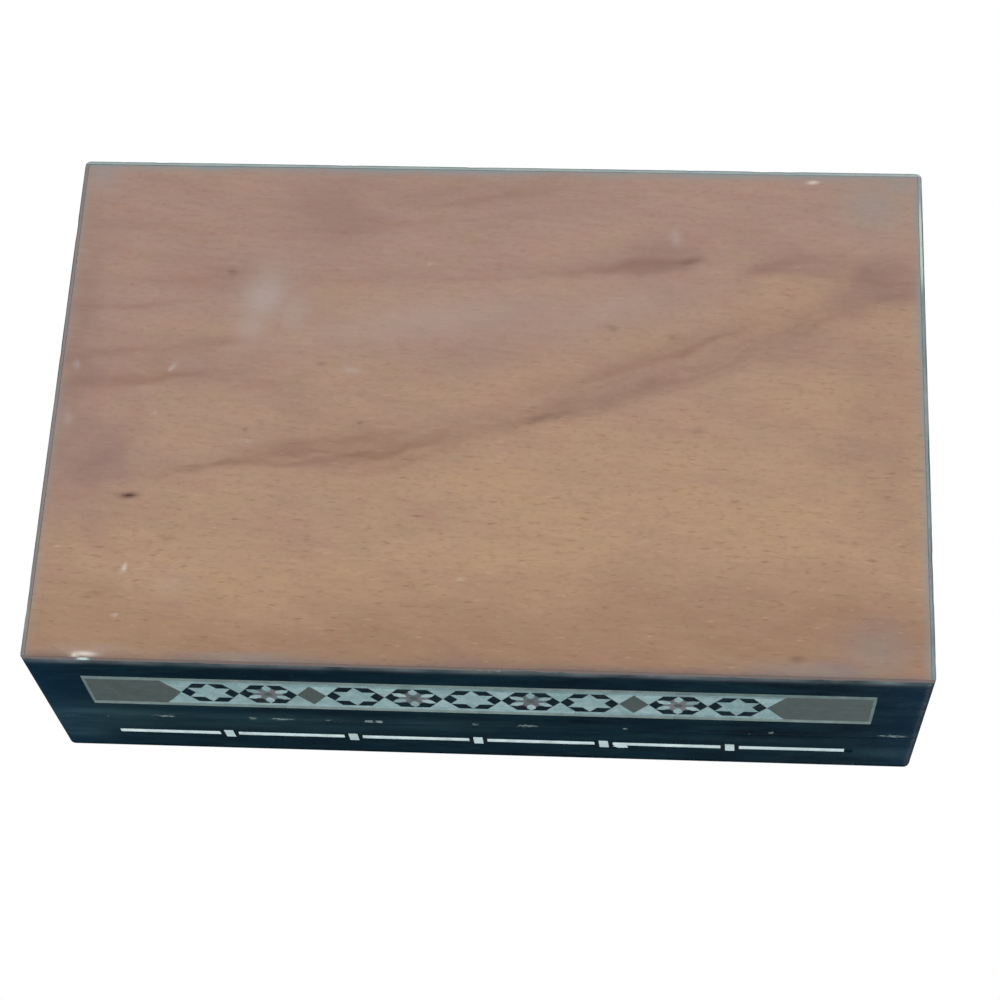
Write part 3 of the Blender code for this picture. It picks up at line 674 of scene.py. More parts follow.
# %% Flakes and slots
def flakes(along, up, table, level):
    """The strongest flake at each place: a bell curve along the seam and one above the level."""
    total = np.zeros(np.broadcast(along, up).shape)
    for middle, half, strength in table:
        bell = np.exp(-((along - middle) / half) ** 4 - ((up - level) / FLAKE_REACH) ** 2)
        total = np.maximum(total, strength * bell)
    return total


def scattered_flakes(half, seed):
    """Flakes for a side that the photograph doesn't show: the same kind, in random places."""
    random = np.random.default_rng(seed)
    count = round(half / 9)
    return np.stack([random.uniform(-half, half, count), random.uniform(0.6, 2.6, count),
                     random.uniform(0.3, 0.8, count)], axis=-1)


def edged(line, edges):
    """A grid line with a close pair of places at each edge of a slot, for steep walls."""
    pairs = np.concatenate([edges - SLOT_WALL, edges + SLOT_WALL])
    clear = np.abs(line[:, None] - pairs).min(axis=1) > 0.1 * MM
    return np.sort(np.concatenate([line[clear], pairs]))


# %% One strip of the skin
def strip(name, side, low, high, replaced, on_lid, seed, slot):
    """One strip of the skin, with its edges rounded over, nicked and rubbed bare.

    The slot, given as half its length, its middle's height and half its own height, holds the
    inlay. The floor of it lies deeper than the inlay's own bed.
    """
    is_long = side in LONG_SIDES
    half = HALF_LENGTH - SKIN_INSET - CORNER_TRIM if is_long else HALF_DEPTH - SKIN - SKIN_INSET
    reach, middle, rise = slot
    across = edged(grid_line(-half, half, SKIN_STEP, CORNER_RADIUS), np.array([-reach, reach]))
    up = edged(grid_line(low, high, SKIN_STEP, EDGE_ROUNDING), middle + np.array([-rise, rise]))
    along, height = in_millimetres(across, up)
    distance = rim_distance(across, up) / MM

    def rough(cell_along, cell_up, seed_step=0):
        """Noise over the strip."""
        return rough_noise(along, height, cell_along, cell_up, seed + seed_step)

    nicks = np.clip(rough(5, 3) - 0.45, 0, 1) * np.exp(-distance / NICK_REACH)
    rub = np.exp(-distance / RUB_REACH) * (0.42 + 0.3 * rough(7, 7, 7))
    if on_lid:
        flake = nicks
        bare = 0.5 * rub * (height < low / MM + LID_RUB)
    else:
        table = SEAM_FLAKES if side == "front" else scattered_flakes(half / MM, seed)
        flake = flakes(along, height, table, high / MM - FLAKE_REACH)
        bare = np.maximum(0.6 * rub, flake)
    trim = CORNER_TRIM if is_long else SKIN
    corner = rounded(end_distance(across)[:, None] + trim, CORNER_RADIUS)
    depth = SKIN_INSET + np.maximum(rounded(end_distance(up)[None, :], EDGE_ROUNDING), corner)
    depth = depth + MM * (POLISH_WAVE * (1 + rough(14, 9, 3)) / 2)
    depth = depth + MM * np.clip(NICK_DEPTH * nicks + FLAKE_DEPTH * flake, 0, DEEPEST)
    in_slot = (np.abs(along) < reach / MM) & (np.abs(height - middle / MM) < rise / MM)
    depth = np.where(in_slot, SLOT_DEPTH, np.minimum(depth, SKIN - SKIN_INSET))
    rows, groups = plate(across, up, depth, SKIN)
    x, is_cut = rows[:, 0], np.isclose(rows[:, 1], 0)
    cut, outer, warm = EDGE_WEAR_AND_SHADE[side]
    fade = np.exp(-(height / WEAR_REACH) ** 2) * outer * (1 + 0.5 * rough(6, 3, 13))
    core = np.where(is_cut, cut, carried(np.clip(fade, 0, 0.8), rows)) * (not on_lid)
    warm = warm * is_cut
    # A painted highlight along part of the left's cut edge lifts core above 0.8.
    if side == "left":
        middle, reach, more = HIGHLIGHT_STRETCH
        core = core + more * np.exp(-((x / MM - middle) / reach) ** 4) * (core > 0.5)
    if side == "front" and not on_lid:
        smear = np.exp(-((x / MM - SMEAR_PLACE) / SMEAR_HALF) ** 4) * is_cut
        core, warm = np.maximum(core, smear), warm * (1 - smear)
    # A pale haze on the front, partly dust and partly painted light.
    dust = spots(along, height, DUST_AND_LIGHT) * (side == "front") * ~in_slot * (1 + 0.4 * rough(9, 1.6, 15))
    cool = 0.85 * np.exp(-((half - np.abs(x)) / (COOL_REACH * MM)) ** 2)
    bare = np.clip(bare, 0, 1) * ~in_slot
    make_piece(name, "lid" if on_lid else "body", "black_lacquer", [BLACK_LACQUER],
               on_side(side)(rows), groups, [replaced], bare=carried(bare, rows), core=core,
               warm=warm, cool=cool, dust=carried(dust, rows))


def half_span(node, axis):
    """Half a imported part's length along one axis."""
    low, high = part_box(node)
    return (high[axis] - low[axis]) / 2


# %% The eight strips
for number, (side, axis) in enumerate(AXIS.items()):
    slot = (half_span(f"{side}_marquetry_band", axis) - SLOT_LIP, BAND_MIDDLE, BAND_HALF - SLOT_LIP)
    strip(f"body_{side}_skin", side, 0.0, BODY_TOP - SEAM_TRIM, f"body_{side}_facing", False,
          101 + 20 * number, slot)
    slot = (half_span(f"lid_{side}_stringing", axis) + STRING_EASE, STRING_MIDDLE, STRING_SLOT)
    strip(f"lid_{side}_skin", side, LID_BOTTOM + SEAM_TRIM, VENEER_BOTTOM - VENEER_TRIM,
          f"lid_{side}_facing", True, 111 + 20 * number, slot)

# %% [markdown]
# ## The frame of the lid
# A black veneer lies over the lid's top, with its outer edge rounded over and an opening for the
# inlay. It is one profile carried round the box: at each place on the way round, the profile says
# how far in from the edge and how high each of its points lies.

# %% The lid's black frame
FRAME_WIDTH, TOP_ROUNDING, LEAST_RADIUS = 9.25 * MM, 0.8 * MM, 0.04 * MM
ARC_PLACES, FLAT_PLACES, SIDE_PLACES, CORNER_PLACES = 7, 14, 110, 6


def carried_round(inset, level):
    """Carries a profile round a rectangle with rounded corners, whose radius shrinks inwards.

    At the turn t, the place is the corner circle's middle plus its radius times (cos t, sin t).
    """
    radius = np.maximum(CORNER_RADIUS - inset, LEAST_RADIUS)
    reach_x, reach_y = HALF_LENGTH - inset - radius, HALF_DEPTH - inset - radius
    turns = [np.linspace(number - 1, number, CORNER_PLACES) for number in range(4)]
    turns = np.concatenate(turns)[:, None] * math.pi / 2
    corners = np.repeat([(1, -1), (1, 1), (-1, 1), (-1, -1)], CORNER_PLACES, axis=0)
    x = corners[:, :1] * reach_x + radius * np.cos(turns)
    y = corners[:, 1:] * reach_y + radius * np.sin(turns)
    ring = np.stack([x, y, np.broadcast_to(level, x.shape)], axis=-1)
    share = np.linspace(0, 1, SIDE_PLACES, endpoint=False)[1:, None, None]
    path = []
    for number in range(4):
        first, last = number * CORNER_PLACES, (number + 1) * CORNER_PLACES
        path.append(ring[first:last])
        path.append(ring[last - 1] * (1 - share) + ring[last % len(ring)] * share)
    return np.concatenate(path)


def lid_frame():
    """The frame's profile: up the outer wall, over the rounded edge, across, down and back."""
    turn = np.linspace(0, math.pi / 2, ARC_PLACES)
    arc_in = SKIN_INSET + TOP_ROUNDING * (1 - np.cos(turn))
    arc_up = TOP - SKIN_INSET - TOP_ROUNDING * (1 - np.sin(turn))
    flat = np.linspace(arc_in[-1], FRAME_WIDTH, FLAT_PLACES)[1:]
    inset = np.concatenate([[SKIN_INSET], arc_in, flat, [FRAME_WIDTH]])
    level = np.concatenate([[VENEER_BOTTOM], arc_up, np.full(len(flat), arc_up[-1]),
                            [VENEER_BOTTOM]])
    ring = carried_round(inset, level)
    along, across = ring[..., 0] / MM, ring[..., 1] / MM
    waves = MM * POLISH_WAVE * (1 + rough_noise(along, across, 12, 12, 301))
    ring[..., 2] -= waves * (ring[..., 2] > VENEER_BOTTOM)
    bump = np.exp(-((inset - SKIN_INSET - 0.25 * MM) / (0.35 * MM)) ** 2)
    wear = bump[None, :] * (0.32 + 0.3 * rough_noise(along, across, 8, 8, 311))
    points, groups = loft(ring[None], ring=True)
    make_piece("lid_frame", "lid", "black_lacquer", [BLACK_LACQUER], points, groups,
               ["lid_top_veneer"], bare=np.clip(wear, 0, 1).ravel())


lid_frame()

# %% [markdown]
# ## Finishes of the inlay
# The marquetry is made of small tiles: pearl, black wood, brown wood, mauve-grey wood and a grey
# line of bone, and the lid's stringing is of brighter pearl. Each tile is cut from another piece,
# so each has a tone of its own, which its points carry.


# %% Inlay finishes
def inlay_finish(name, dark, light, size, roughness, specular, depth=0.01):
    """A tile's finish: its own tone, a fine mottle of the given size, and a slight relief."""
    finish = Finish(name, Specular_IOR_Level=specular)
    mottle = finish.noise((size, size, size), detail=4, roughness=0.6)
    tone = finish.sum(finish.field("tone"), finish.part(mottle, 0.25, 0.75, -0.3, 0.3))
    grime = finish.noise((5, 5, 5), detail=4, seed=8)
    colour = finish.layers(dark, (tone, 0, 1, 1, light), (grime, 0.55, 0.8, 0.35, (70, 74, 66)))
    rough = finish.part(mottle, 0.3, 0.7, roughness - 0.06, roughness + 0.08)
    return finish.done(colour, rough, finish.relief(mottle, depth))


PEARL, EBONY, BROWN, BONE, GLUE, MAUVE, BRIGHT = range(7)
INLAY_FINISHES = [
    inlay_finish("pearl", (112, 142, 146), (156, 184, 188), 1.8, 0.26, 0.3),
    inlay_finish("ebony", (3, 22, 32), (16, 40, 48), 1.0, 0.3, 0.08),
    inlay_finish("brown_wood", (66, 80, 80), (86, 94, 92), 1.6, 0.4, 0.12, 0.02),
    inlay_finish("bone", (88, 108, 110), (128, 146, 144), 1.8, 0.35, 0.2),
    inlay_finish("glue", (28, 40, 42), (54, 62, 60), 1.2, 0.6, 0.1),
    inlay_finish("mauve_wood", (74, 88, 94), (118, 118, 122), 1.4, 0.4, 0.1, 0.02),
    inlay_finish("bright_pearl", (158, 184, 188), (222, 240, 242), 2.4, 0.22, 0.4),
]

# %% [markdown]
# ## Star marquetry
# The strip is a row of hexagons that touch at their corners. In every second one a six-pointed
# star of pearl lies between six black rhombs. In the others six pale petals stand on mauve. White
# triangles fill the spaces between, brown diamonds break the row, and a long grey-brown panel
# with a pointed end closes it at each side. All of this follows from one number, half the height
# of a hexagon: a star's tips lie that far out, its notches at that number over the root of three.

# %% Outlines of the tiles
HALF_HEX = 4.55 * MM
NOTCH = HALF_HEX / math.sqrt(3)
CORNER = 2 * NOTCH
CHAMFER_DROP, CHAMFER_WIDTH = 0.05 * MM, 0.06 * MM
TILE_DEPTH, TILE_STEP, TILE_TILT = 0.02 * MM, 0.018 * MM, 0.005 * MM
JOINT, FINE_JOINT, GLUE_DEPTH = 0.05 * MM, 0.02 * MM, 0.1 * MM


def polar(radii, degrees):
    """Places at the given radii and angles."""
    angle = np.radians(degrees)
    return np.stack([radii * np.cos(angle), radii * np.sin(angle)], axis=-1)


def turned_copies(outline):
    """Six copies of an outline, evenly turned about the middle."""
    angle = np.radians(np.arange(6) * 60)
    spin = np.array([[np.cos(angle), -np.sin(angle)], [np.sin(angle), np.cos(angle)]])
    return np.einsum("xyk,ny->knx", spin, outline)


STAR = polar(np.tile([NOTCH, HALF_HEX], 6), np.arange(12) * 30)
RHOMB = polar(np.array([NOTCH, HALF_HEX, CORNER, HALF_HEX]), np.array([0, -30, 0, 30]))
PETAL = polar(HALF_HEX * np.array([0.3, 0.5, 0.8, 1.0, 0.8, 0.5]),
              30 + np.array([0, -19, -14, 0, 14, 19]))
SEED = polar(HALF_HEX * 0.2, np.arange(6) * 60 + 30)
TRIANGLE = np.array([(0, 0), (NOTCH, HALF_HEX), (-NOTCH, HALF_HEX)])
DIAMOND = np.array([(-NOTCH, 0), (0, -HALF_HEX), (NOTCH, 0), (0, HALF_HEX)])


def prisms(outlines, depths, floor, joint, random):
    """Closed prisms on (K, N, 2) outlines: each is drawn in by the joint, tilted and chamfered.

    A place is drawn in towards its tile's middle by the joint over the tile's own size, and the
    tilt is how far a tile's rim rises or falls. Three rings are lofted: the floor's, the one
    under the chamfer and the one above it.
    """
    middle = outlines.mean(axis=1, keepdims=True)
    size = np.linalg.norm(outlines - middle, axis=-1).mean(axis=1)[:, None, None]
    lean = random.normal(0, TILE_TILT, (len(outlines), 1, 2)) / size
    rings = []
    for draw, drop in ((joint, None), (joint, CHAMFER_DROP), (joint + CHAMFER_WIDTH, 0.0)):
        ring = middle + (outlines - middle) * (1 - draw / size)
        if drop is None:
            depth = np.full(ring.shape[:2], floor)
        else:
            slope = ((ring - middle) * lean).sum(axis=-1)
            depth = depths[:, None] + drop + slope
        rings.append(np.concatenate([ring, depth[..., None]], axis=-1))
    return loft(np.stack(rings, axis=1))


# %% Gather tiles into one piece
class Inlay:
    """Gathers tiles of several finishes into one piece."""

    def __init__(self, floor, seed):
        self.floor = floor
        self.random = np.random.default_rng(seed)
        self.rows, self.groups, self.kinds, self.tones, self.count = [], [], [], [], 0

    def add(self, outlines, kind, depth=TILE_DEPTH, tone=0.5, joint=JOINT, spread=0.22):
        """Adds tiles of one finish, each a little higher or lower and lighter or darker."""
        outlines = np.asarray(outlines, dtype=float)
        depths = depth + self.random.uniform(0, TILE_STEP, len(outlines))
        rows, groups = prisms(outlines, depths, self.floor, joint, self.random)
        tones = tone + spread * self.random.uniform(-1, 1, len(outlines))
        self.add_rows(rows, groups, kind, np.repeat(tones, len(rows) // len(outlines)))

    def add_rows(self, rows, groups, kind, tones):
        """Adds finished bodies of another shape."""
        self.rows.append(rows)
        self.tones.append(tones)
        for group in groups:
            self.groups.append(group + self.count)
            self.kinds.append(np.full(len(group), kind))
        self.count += len(rows)

    def make(self, name, body, slot, place, replaced=()):
        """Puts the rows in their place and makes the piece."""
        rows = place(np.concatenate(self.rows))
        make_piece(name, body, slot, INLAY_FINISHES, rows, self.groups, replaced,
                   np.concatenate(self.kinds), tone=np.concatenate(self.tones))


def boxed(low_x, high_x, low_y, high_y):
    """The outline of a rectangle."""
    return np.array([(low_x, low_y), (high_x, low_y), (high_x, high_y), (low_x, high_y)])


# %% The strip's row of tiles
FIELD_HALF, RIM_GAP, END_LINE, SEGMENT = 5.6 * MM, 0.05 * MM, 0.6 * MM, 36 * MM
MAUVE_DEPTH = 0.045 * MM
WIDTHS = {"S": CORNER, "R": CORNER, "D": NOTCH}


def tile_row(inlay, order, shift=0.0):
    """Lays a row of stars (S), rosettes (R) and diamonds (D) about a place near the middle.

    Gives the places where its tiles touch, and half its length.
    """
    halves = np.array([WIDTHS[kind] for kind in order])
    edges = np.concatenate([[0], np.cumsum(2 * halves)])
    length = edges[-1]
    edges += shift - length / 2
    for kind, left, right in zip(order, edges[:-1], edges[1:]):
        middle = np.array([(left + right) / 2, 0])
        if kind == "D":
            inlay.add([DIAMOND + middle], BROWN, tone=0.3)
            continue
        inlay.add(turned_copies(RHOMB) + middle, EBONY, tone=0.3)
        if kind == "S":
            inlay.add([STAR + middle], PEARL, tone=0.4, spread=0.15)
            continue
        inlay.add([STAR + middle], MAUVE, depth=MAUVE_DEPTH, tone=0.4)
        inlay.add(turned_copies(PETAL) + middle, PEARL, tone=0.6, spread=0.4)
        inlay.add([SEED + middle], BROWN, tone=0.4)
    touching = np.stack([edges, np.zeros(len(edges))], axis=-1)[:, None, :]
    return touching, length / 2


def lines(inlay, half, end, slant=0.0, shift=0.0):
    """A bone line along both edges of a strip, in butted lengths, with ones across its ends.

    A narrow pearl line lies between it and the row of tiles, as far as the row goes. Its ends
    are cut at the slant.
    """
    outer = BAND_HALF - RIM_GAP
    for reach, inner, rim, kind, tone, lean in ((half, FIELD_HALF, outer, BONE, 0.5, 0.0),
                                                (end, HALF_HEX, FIELD_HALF, PEARL, 0.35, slant)):
        cuts = np.linspace(-reach, reach, round(2 * reach / SEGMENT) + 1)
        for sign in (1, -1):
            move = np.array([shift * (kind == PEARL), 0])
            lengths = np.array([boxed(low, high, inner, rim) for low, high in zip(cuts, cuts[1:])])
            lengths[-1, 2, 0] += lean * (rim - inner)
            lengths[0, 3, 0] -= lean * (rim - inner)
            # Each line on the negative side gets a darker tone than its partner: painted shade, for
            # the lower lines on the box's sides.
            inlay.add(sign * lengths + move, kind, tone=tone + 0.15 * sign, joint=FINE_JOINT)
    inlay.add([boxed(stop - END_LINE, stop, -FIELD_HALF, FIELD_HALF)
               for stop in (half, END_LINE - half)], BONE, tone=0.1, joint=FINE_JOINT)


def panels(half, end, shift):
    """Long panels from the row's ends to the strip's, each with a point that meets the row."""
    outlines = []
    for sign in (1, -1):
        tip, stop = end + sign * shift, half - END_LINE
        shoulder = tip + NOTCH * FIELD_HALF / HALF_HEX
        outlines.append(sign * np.array([(tip, 0), (shoulder, -FIELD_HALF), (stop, -FIELD_HALF),
                                         (stop, FIELD_HALF), (shoulder, FIELD_HALF)]))
    return outlines


def star_strip(name, order, half, place, body, replaced, floor, seed, shift=0.0, full=False):
    """A strip with its row of tiles. The row fills it, or ends in a long panel at each side."""
    inlay = Inlay(floor, seed)
    bed = boxed(-half, half, -BAND_HALF, BAND_HALF)
    inlay.add([bed], GLUE, depth=GLUE_DEPTH, tone=0.5 if full else 0.3, joint=0)
    touching, end = tile_row(inlay, order, shift)
    inner = touching[1:-1] if full else touching
    inlay.add(inner + TRIANGLE, PEARL, tone=0.6)
    inlay.add(inner - TRIANGLE, PEARL, tone=0.6)
    if full:
        corner = np.array([(0, 0), (0, HALF_HEX), (-NOTCH, HALF_HEX)]) + np.array([end, 0])
        inlay.add([corner, corner * (1, -1), corner * (-1, 1), -corner], PEARL, tone=0.6)
        lines(inlay, half, end)
    else:
        inlay.add(panels(half, end, shift), BROWN, tone=0.3, spread=0.1, joint=FINE_JOINT)
        lines(inlay, half, end + NOTCH, NOTCH / HALF_HEX, shift)
    inlay.make(name, body, "marquetry", place, [replaced])


# %% Strips round the body
FRONT_SHIFT = 0.9 * MM  # The photograph's row and stringing lie this far to one side.
ORDERS = ("SRDSRSRSDRS", "SRDSDRS")  # Along the box and across it.
for number, (side, axis) in enumerate(AXIS.items()):
    node = f"{side}_marquetry_band"
    star_strip(f"{side}_star_strip", ORDERS[axis], half_span(node, axis), on_side(side, BAND_MIDDLE),
               "body", node, SKIN, 401 + number, FRONT_SHIFT if side == "front" else 0.0)

# %% [markdown]
# ## The top of the lid
# The photograph doesn't show it. A box with such sides carries the same strip round its lid, with
# a brown panel inside and a medallion in the middle, so that is what is made here. The medallion
# is a lattice of small triangles, and each triangle's place in the lattice says what it is cut
# from, which gives a large star with a smaller one in it.


# %% Strips round the lid
LID_ORDERS = (ORDERS[0], "SRSRS")
for number, (side, axis) in enumerate(AXIS.items()):
    node = f"lid_top_band_{side}"
    low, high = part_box(node)
    reach = abs(low[1 - axis] + high[1 - axis]) / 2
    star_strip(f"lid_{side}_star_strip", LID_ORDERS[axis], half_span(node, axis),
               on_top(side, reach), "lid", node, VENEER, 421 + number, full=side not in LONG_SIDES)


# %% The brown panel
def walnut():
    """Brown veneer: long dark figure along X, pores, and a satin polish."""
    finish = Finish("walnut_veneer", Specular_IOR_Level=0.35)
    figure = finish.noise((38, 3.2, 4), turn=4, detail=6, roughness=0.62)
    pore = finish.noise((3.4, 0.16, 0.5), detail=1, seed=4)
    pore = finish.part(pore, 0.6, 0.74, 0, 0.6)
    colour = finish.layers((112, 98, 80), (figure, 0.3, 0.7, 1, (74, 64, 54)),
                           (pore, 0, 1, 1, (40, 32, 28)))
    return finish.done(colour, finish.part(figure, 0.3, 0.7, 0.36, 0.46), finish.relief(pore, -0.03))


PANEL_STEP, PANEL_ROUNDING, PANEL_DEPTH, PANEL_EDGE = 0.8 * MM, 0.1 * MM, 0.07, 0.08 * MM


def top_panel():
    """A plate under the medallion, with slight waves in its polish."""
    low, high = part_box("lid_top_panel")
    across, up = (grid_line(low[axis], high[axis], PANEL_STEP, PANEL_ROUNDING) for axis in (0, 1))
    x, y = in_millimetres(across, up)
    depth = MM * (PANEL_DEPTH + POLISH_WAVE * rough_noise(x, y, 18, 6, 501))
    depth = depth + rounded(rim_distance(across, up), PANEL_EDGE)
    rows, groups = plate(across, up, depth, VENEER)
    rows[:, 2] = TOP - rows[:, 2]
    make_piece("lid_panel_veneer", "lid", "walnut", [walnut()], rows, groups, ["lid_top_panel"])


top_panel()

# %% The medallion
MEDALLION_ORDER = 8
MEDALLION_GAP, MEDALLION_GLUE, MEDALLION_JOINT = 0.05 * MM, 0.06 * MM, 0.03 * MM
LATTICE_INSET = 2.05 * MM
# The borders' outer and inner edges, in millimetres in from the rim, and their tone.
BORDERS = [(PEARL, 0, 0.8, 0.6), (EBONY, 0.8, 1.5, 0.5), (BONE, 1.5, 2.0, 0.5)]


def six_strips(inner, outer):
    """Six mitred strips of a hexagon's border, between two distances from its middle."""
    edges = [polar(reach / math.cos(math.pi / 6), np.array([0, 60])) for reach in (inner, outer)]
    outline = np.array([edges[0][0], edges[1][0], edges[1][1], edges[0][1]])
    return turned_copies(outline)


def lattice(reach, order):
    """Small triangles that fill a hexagon: those in one sixth of it, and then its five turns.

    Gives their outlines, their two lattice numbers and which of them point inwards.
    """
    first, second = np.meshgrid(np.arange(order), np.arange(order), indexing="ij")
    first, second = first.ravel(), second.ravel()
    upright, inward = first + second < order, first + second < order - 1
    sides = polar(np.full(2, reach / math.cos(math.pi / 6) / order), np.array([0, 60]))
    shapes = []
    for keep, steps in ((upright, [(0, 0), (1, 0), (0, 1)]), (inward, [(1, 0), (1, 1), (0, 1)])):
        lattice_places = np.stack([first[keep], second[keep]], axis=-1)[:, None, :] + np.array(steps)
        shapes.append(lattice_places @ sides)
    outlines = np.concatenate(shapes)
    numbers = np.concatenate([np.stack([first[upright], second[upright]], axis=-1) + 1 / 3,
                              np.stack([first[inward], second[inward]], axis=-1) + 2 / 3])
    points_in = np.repeat([False, True], [upright.sum(), inward.sum()])
    copies = np.concatenate([turned_copies(shape) for shape in outlines])
    return copies, np.repeat(numbers, 6, axis=0), np.repeat(points_in, 6)


def star_kinds(numbers, points_in):
    """What each triangle is cut from: nested stars, by where it lies in its sixth of the hexagon."""
    largest, total = numbers.max(axis=1), numbers.sum(axis=1)
    half, quarter = MEDALLION_ORDER / 2, MEDALLION_ORDER / 4
    outer_rhomb, outer_star = np.where(points_in, BROWN, EBONY), np.where(points_in, PEARL, BONE)
    inner_rhomb, inner_star = np.where(points_in, EBONY, BROWN), np.full(len(numbers), PEARL)
    middle = np.where(points_in, EBONY, PEARL)
    return np.select([largest > half, total > half, largest > quarter, total > quarter],
                     [outer_rhomb, outer_star, inner_rhomb, inner_star], middle)


def medallion():
    """Borders of pearl and black round the lattice of triangles."""
    reach = half_span("lid_medallion", 1) - MEDALLION_GAP
    inlay = Inlay(VENEER, 521)
    hexagon = polar(reach / math.cos(math.pi / 6), np.arange(6) * 60)
    inlay.add([hexagon], GLUE, depth=MEDALLION_GLUE, joint=0)
    for kind, outer, inner, tone in BORDERS:
        inlay.add(six_strips(reach - inner * MM, reach - outer * MM), kind, tone=tone)
    outlines, numbers, points_in = lattice(reach - LATTICE_INSET, MEDALLION_ORDER)
    kinds = star_kinds(numbers, points_in)
    for kind in (PEARL, EBONY, BROWN, BONE):
        inlay.add(outlines[kinds == kind], kind, joint=MEDALLION_JOINT)
    inlay.make("lid_medallion_mosaic", "lid", "marquetry", on_top(), ["lid_medallion"])


medallion()

# %% Lines and rosettes in the panel
PANEL_LINE_INSET, PANEL_LINE, PANEL_CORNER = 3.2 * MM, 0.7 * MM, 2.2 * MM
ROSETTE_PLACE, ROSETTE_DEPTH, SMALL_DIAMOND = 37 * MM, 0.04 * MM, 0.28


def panel_inlay():
    """A pearl line with a small diamond at each corner, and a rosette each side of the middle."""
    half_x = half_span("lid_top_panel", 0) - PANEL_LINE_INSET
    half_y = half_span("lid_top_panel", 1) - PANEL_LINE_INSET
    long_x, long_y = half_x - PANEL_CORNER, half_y - PANEL_CORNER
    inlay = Inlay(VENEER, 541)
    for sign in (1, -1):
        inlay.add([sign * boxed(-long_x, long_x, half_y - PANEL_LINE, half_y),
                   sign * boxed(half_x - PANEL_LINE, half_x, -long_y, long_y)], PEARL)
        middle = np.array([sign * ROSETTE_PLACE, 0])
        inlay.add(turned_copies(RHOMB) + middle, EBONY)
        inlay.add([STAR + middle], BONE, depth=ROSETTE_DEPTH)
        inlay.add(turned_copies(PETAL) + middle, PEARL, tone=0.6)
        inlay.add([SEED + middle], EBONY)
        for other in (1, -1):
            place = np.array([sign, other]) * (np.array([half_x, half_y]) - PANEL_CORNER / 3)
            inlay.add([DIAMOND[:, ::-1] * SMALL_DIAMOND + place], PEARL)
    inlay.make("lid_panel_lines", "lid", "pearl", on_top())


panel_inlay()

# %% [markdown]
# ## The pearl stringing
# Round the lid's sides runs a thin rod of pearl, rounded on its outer face, so that a bright
# line of light runs along it. Small upright plates break it, with a black space on each side of
# each plate. A rod is lofted: its half-round profile, at many places along it, with a slight
# wander, because it was laid by hand.

# %% Stringing
STRING_PITCH, STRING_HALF = 23.4 * MM, 0.8 * MM
ROD_STEPS, ROD_PLACES = 26, 11
ROD_DEPTH, ROD_ROUNDING, ROD_WANDER = 0.02 * MM, 0.16 * MM, 0.06 * MM
PLATE_HALF_WIDTH, PLATE_HALF_HEIGHT, PLATE_SPACE = 0.9 * MM, 1.8 * MM, 0.8 * MM
FRONT_LEANS = np.array([-0.05, -0.06, -0.02, -0.03, -0.06])  # As shares of half a plate's height.
FRONT_START = 1.4 * MM  # The front's first rod is this much shorter.
LOOSE_CHIP = (-25.7 * MM, 1.1 * MM)
CHIP_OUTLINE = polar(1.2 * MM * np.array([1, 0.9, 1.1, 0.9, 0.9]), np.arange(5) * 72) * (1.3, 0.8)


def rods(starts, ends, seed):
    """Half-round rods, with the floor of the slot as their flat back.

    The depth is the rounding times one less the root of one less s squared, where s runs from
    -1 to 1 across the rod. The 0.96 keeps the slope at its edges from being endless.
    """
    along = starts[:, None] + (ends - starts)[:, None] * np.linspace(0, 1, ROD_STEPS)
    across = np.sin(np.linspace(-1, 1, ROD_PLACES) * math.pi / 2)
    x, y = along / MM, starts[:, None] / MM
    wander = ROD_WANDER * value_noise(x, y, 9, 5, seed)
    width = STRING_HALF * (1 + 0.08 * value_noise(x, y, 4, 5, seed + 1))
    up = wander[..., None] + width[..., None] * across
    depth = ROD_DEPTH + ROD_ROUNDING * (1 - np.sqrt(1 - across ** 2 * 0.96))
    places = np.broadcast_arrays(along[..., None], up, depth)
    top = np.stack(places, axis=-1)
    floor = top[:, :, [-1, 0]].copy()
    floor[..., 2] = SKIN
    return loft(np.concatenate([top, floor], axis=2))


def stringing(side, seed):
    """The rods and plates of one side. The plates lie a pitch apart, about the side's middle."""
    node = f"lid_{side}_stringing"
    half = half_span(node, AXIS[side])
    spans = round(2 * half / STRING_PITCH)
    is_front = side == "front"
    middles = (np.arange(1, spans) - spans / 2) * STRING_PITCH + FRONT_SHIFT * is_front
    inlay = Inlay(SKIN, seed)
    space = PLATE_HALF_WIDTH + PLATE_SPACE
    starts, ends = np.append(-half, middles + space), np.append(middles - space, half)
    starts[0] += FRONT_START * is_front
    rows, groups = rods(starts, ends, seed)
    inlay.add_rows(rows, groups, BRIGHT, np.full(len(rows), 0.6))
    leans = FRONT_LEANS if is_front else inlay.random.normal(0, 0.08, len(middles))
    tile = boxed(-PLATE_HALF_WIDTH, PLATE_HALF_WIDTH, -PLATE_HALF_HEIGHT, PLATE_HALF_HEIGHT)
    lean = (leans * PLATE_HALF_HEIGHT)[:, None] * np.array([-1, -1, 1, 1])
    plates = tile + np.stack([middles[:, None] + lean, np.zeros(lean.shape)], axis=-1)
    inlay.add(plates, BRIGHT, tone=0.35, spread=0.15)
    gap = boxed(-PLATE_SPACE / 2, PLATE_SPACE / 2, -PLATE_HALF_HEIGHT, PLATE_HALF_HEIGHT)
    shift = np.array([PLATE_HALF_WIDTH + PLATE_SPACE / 2, 0])
    for sign in (1, -1):
        inlay.add(plates - tile + gap + sign * shift, EBONY, tone=0, spread=0)
    if is_front:
        inlay.add([CHIP_OUTLINE + LOOSE_CHIP], BRIGHT, tone=0.4)
    inlay.make(f"lid_{side}_string", "lid", "pearl", on_side(side, STRING_MIDDLE), [node])


for number, side in enumerate(TURNS):
    stringing(side, 601 + 10 * number)

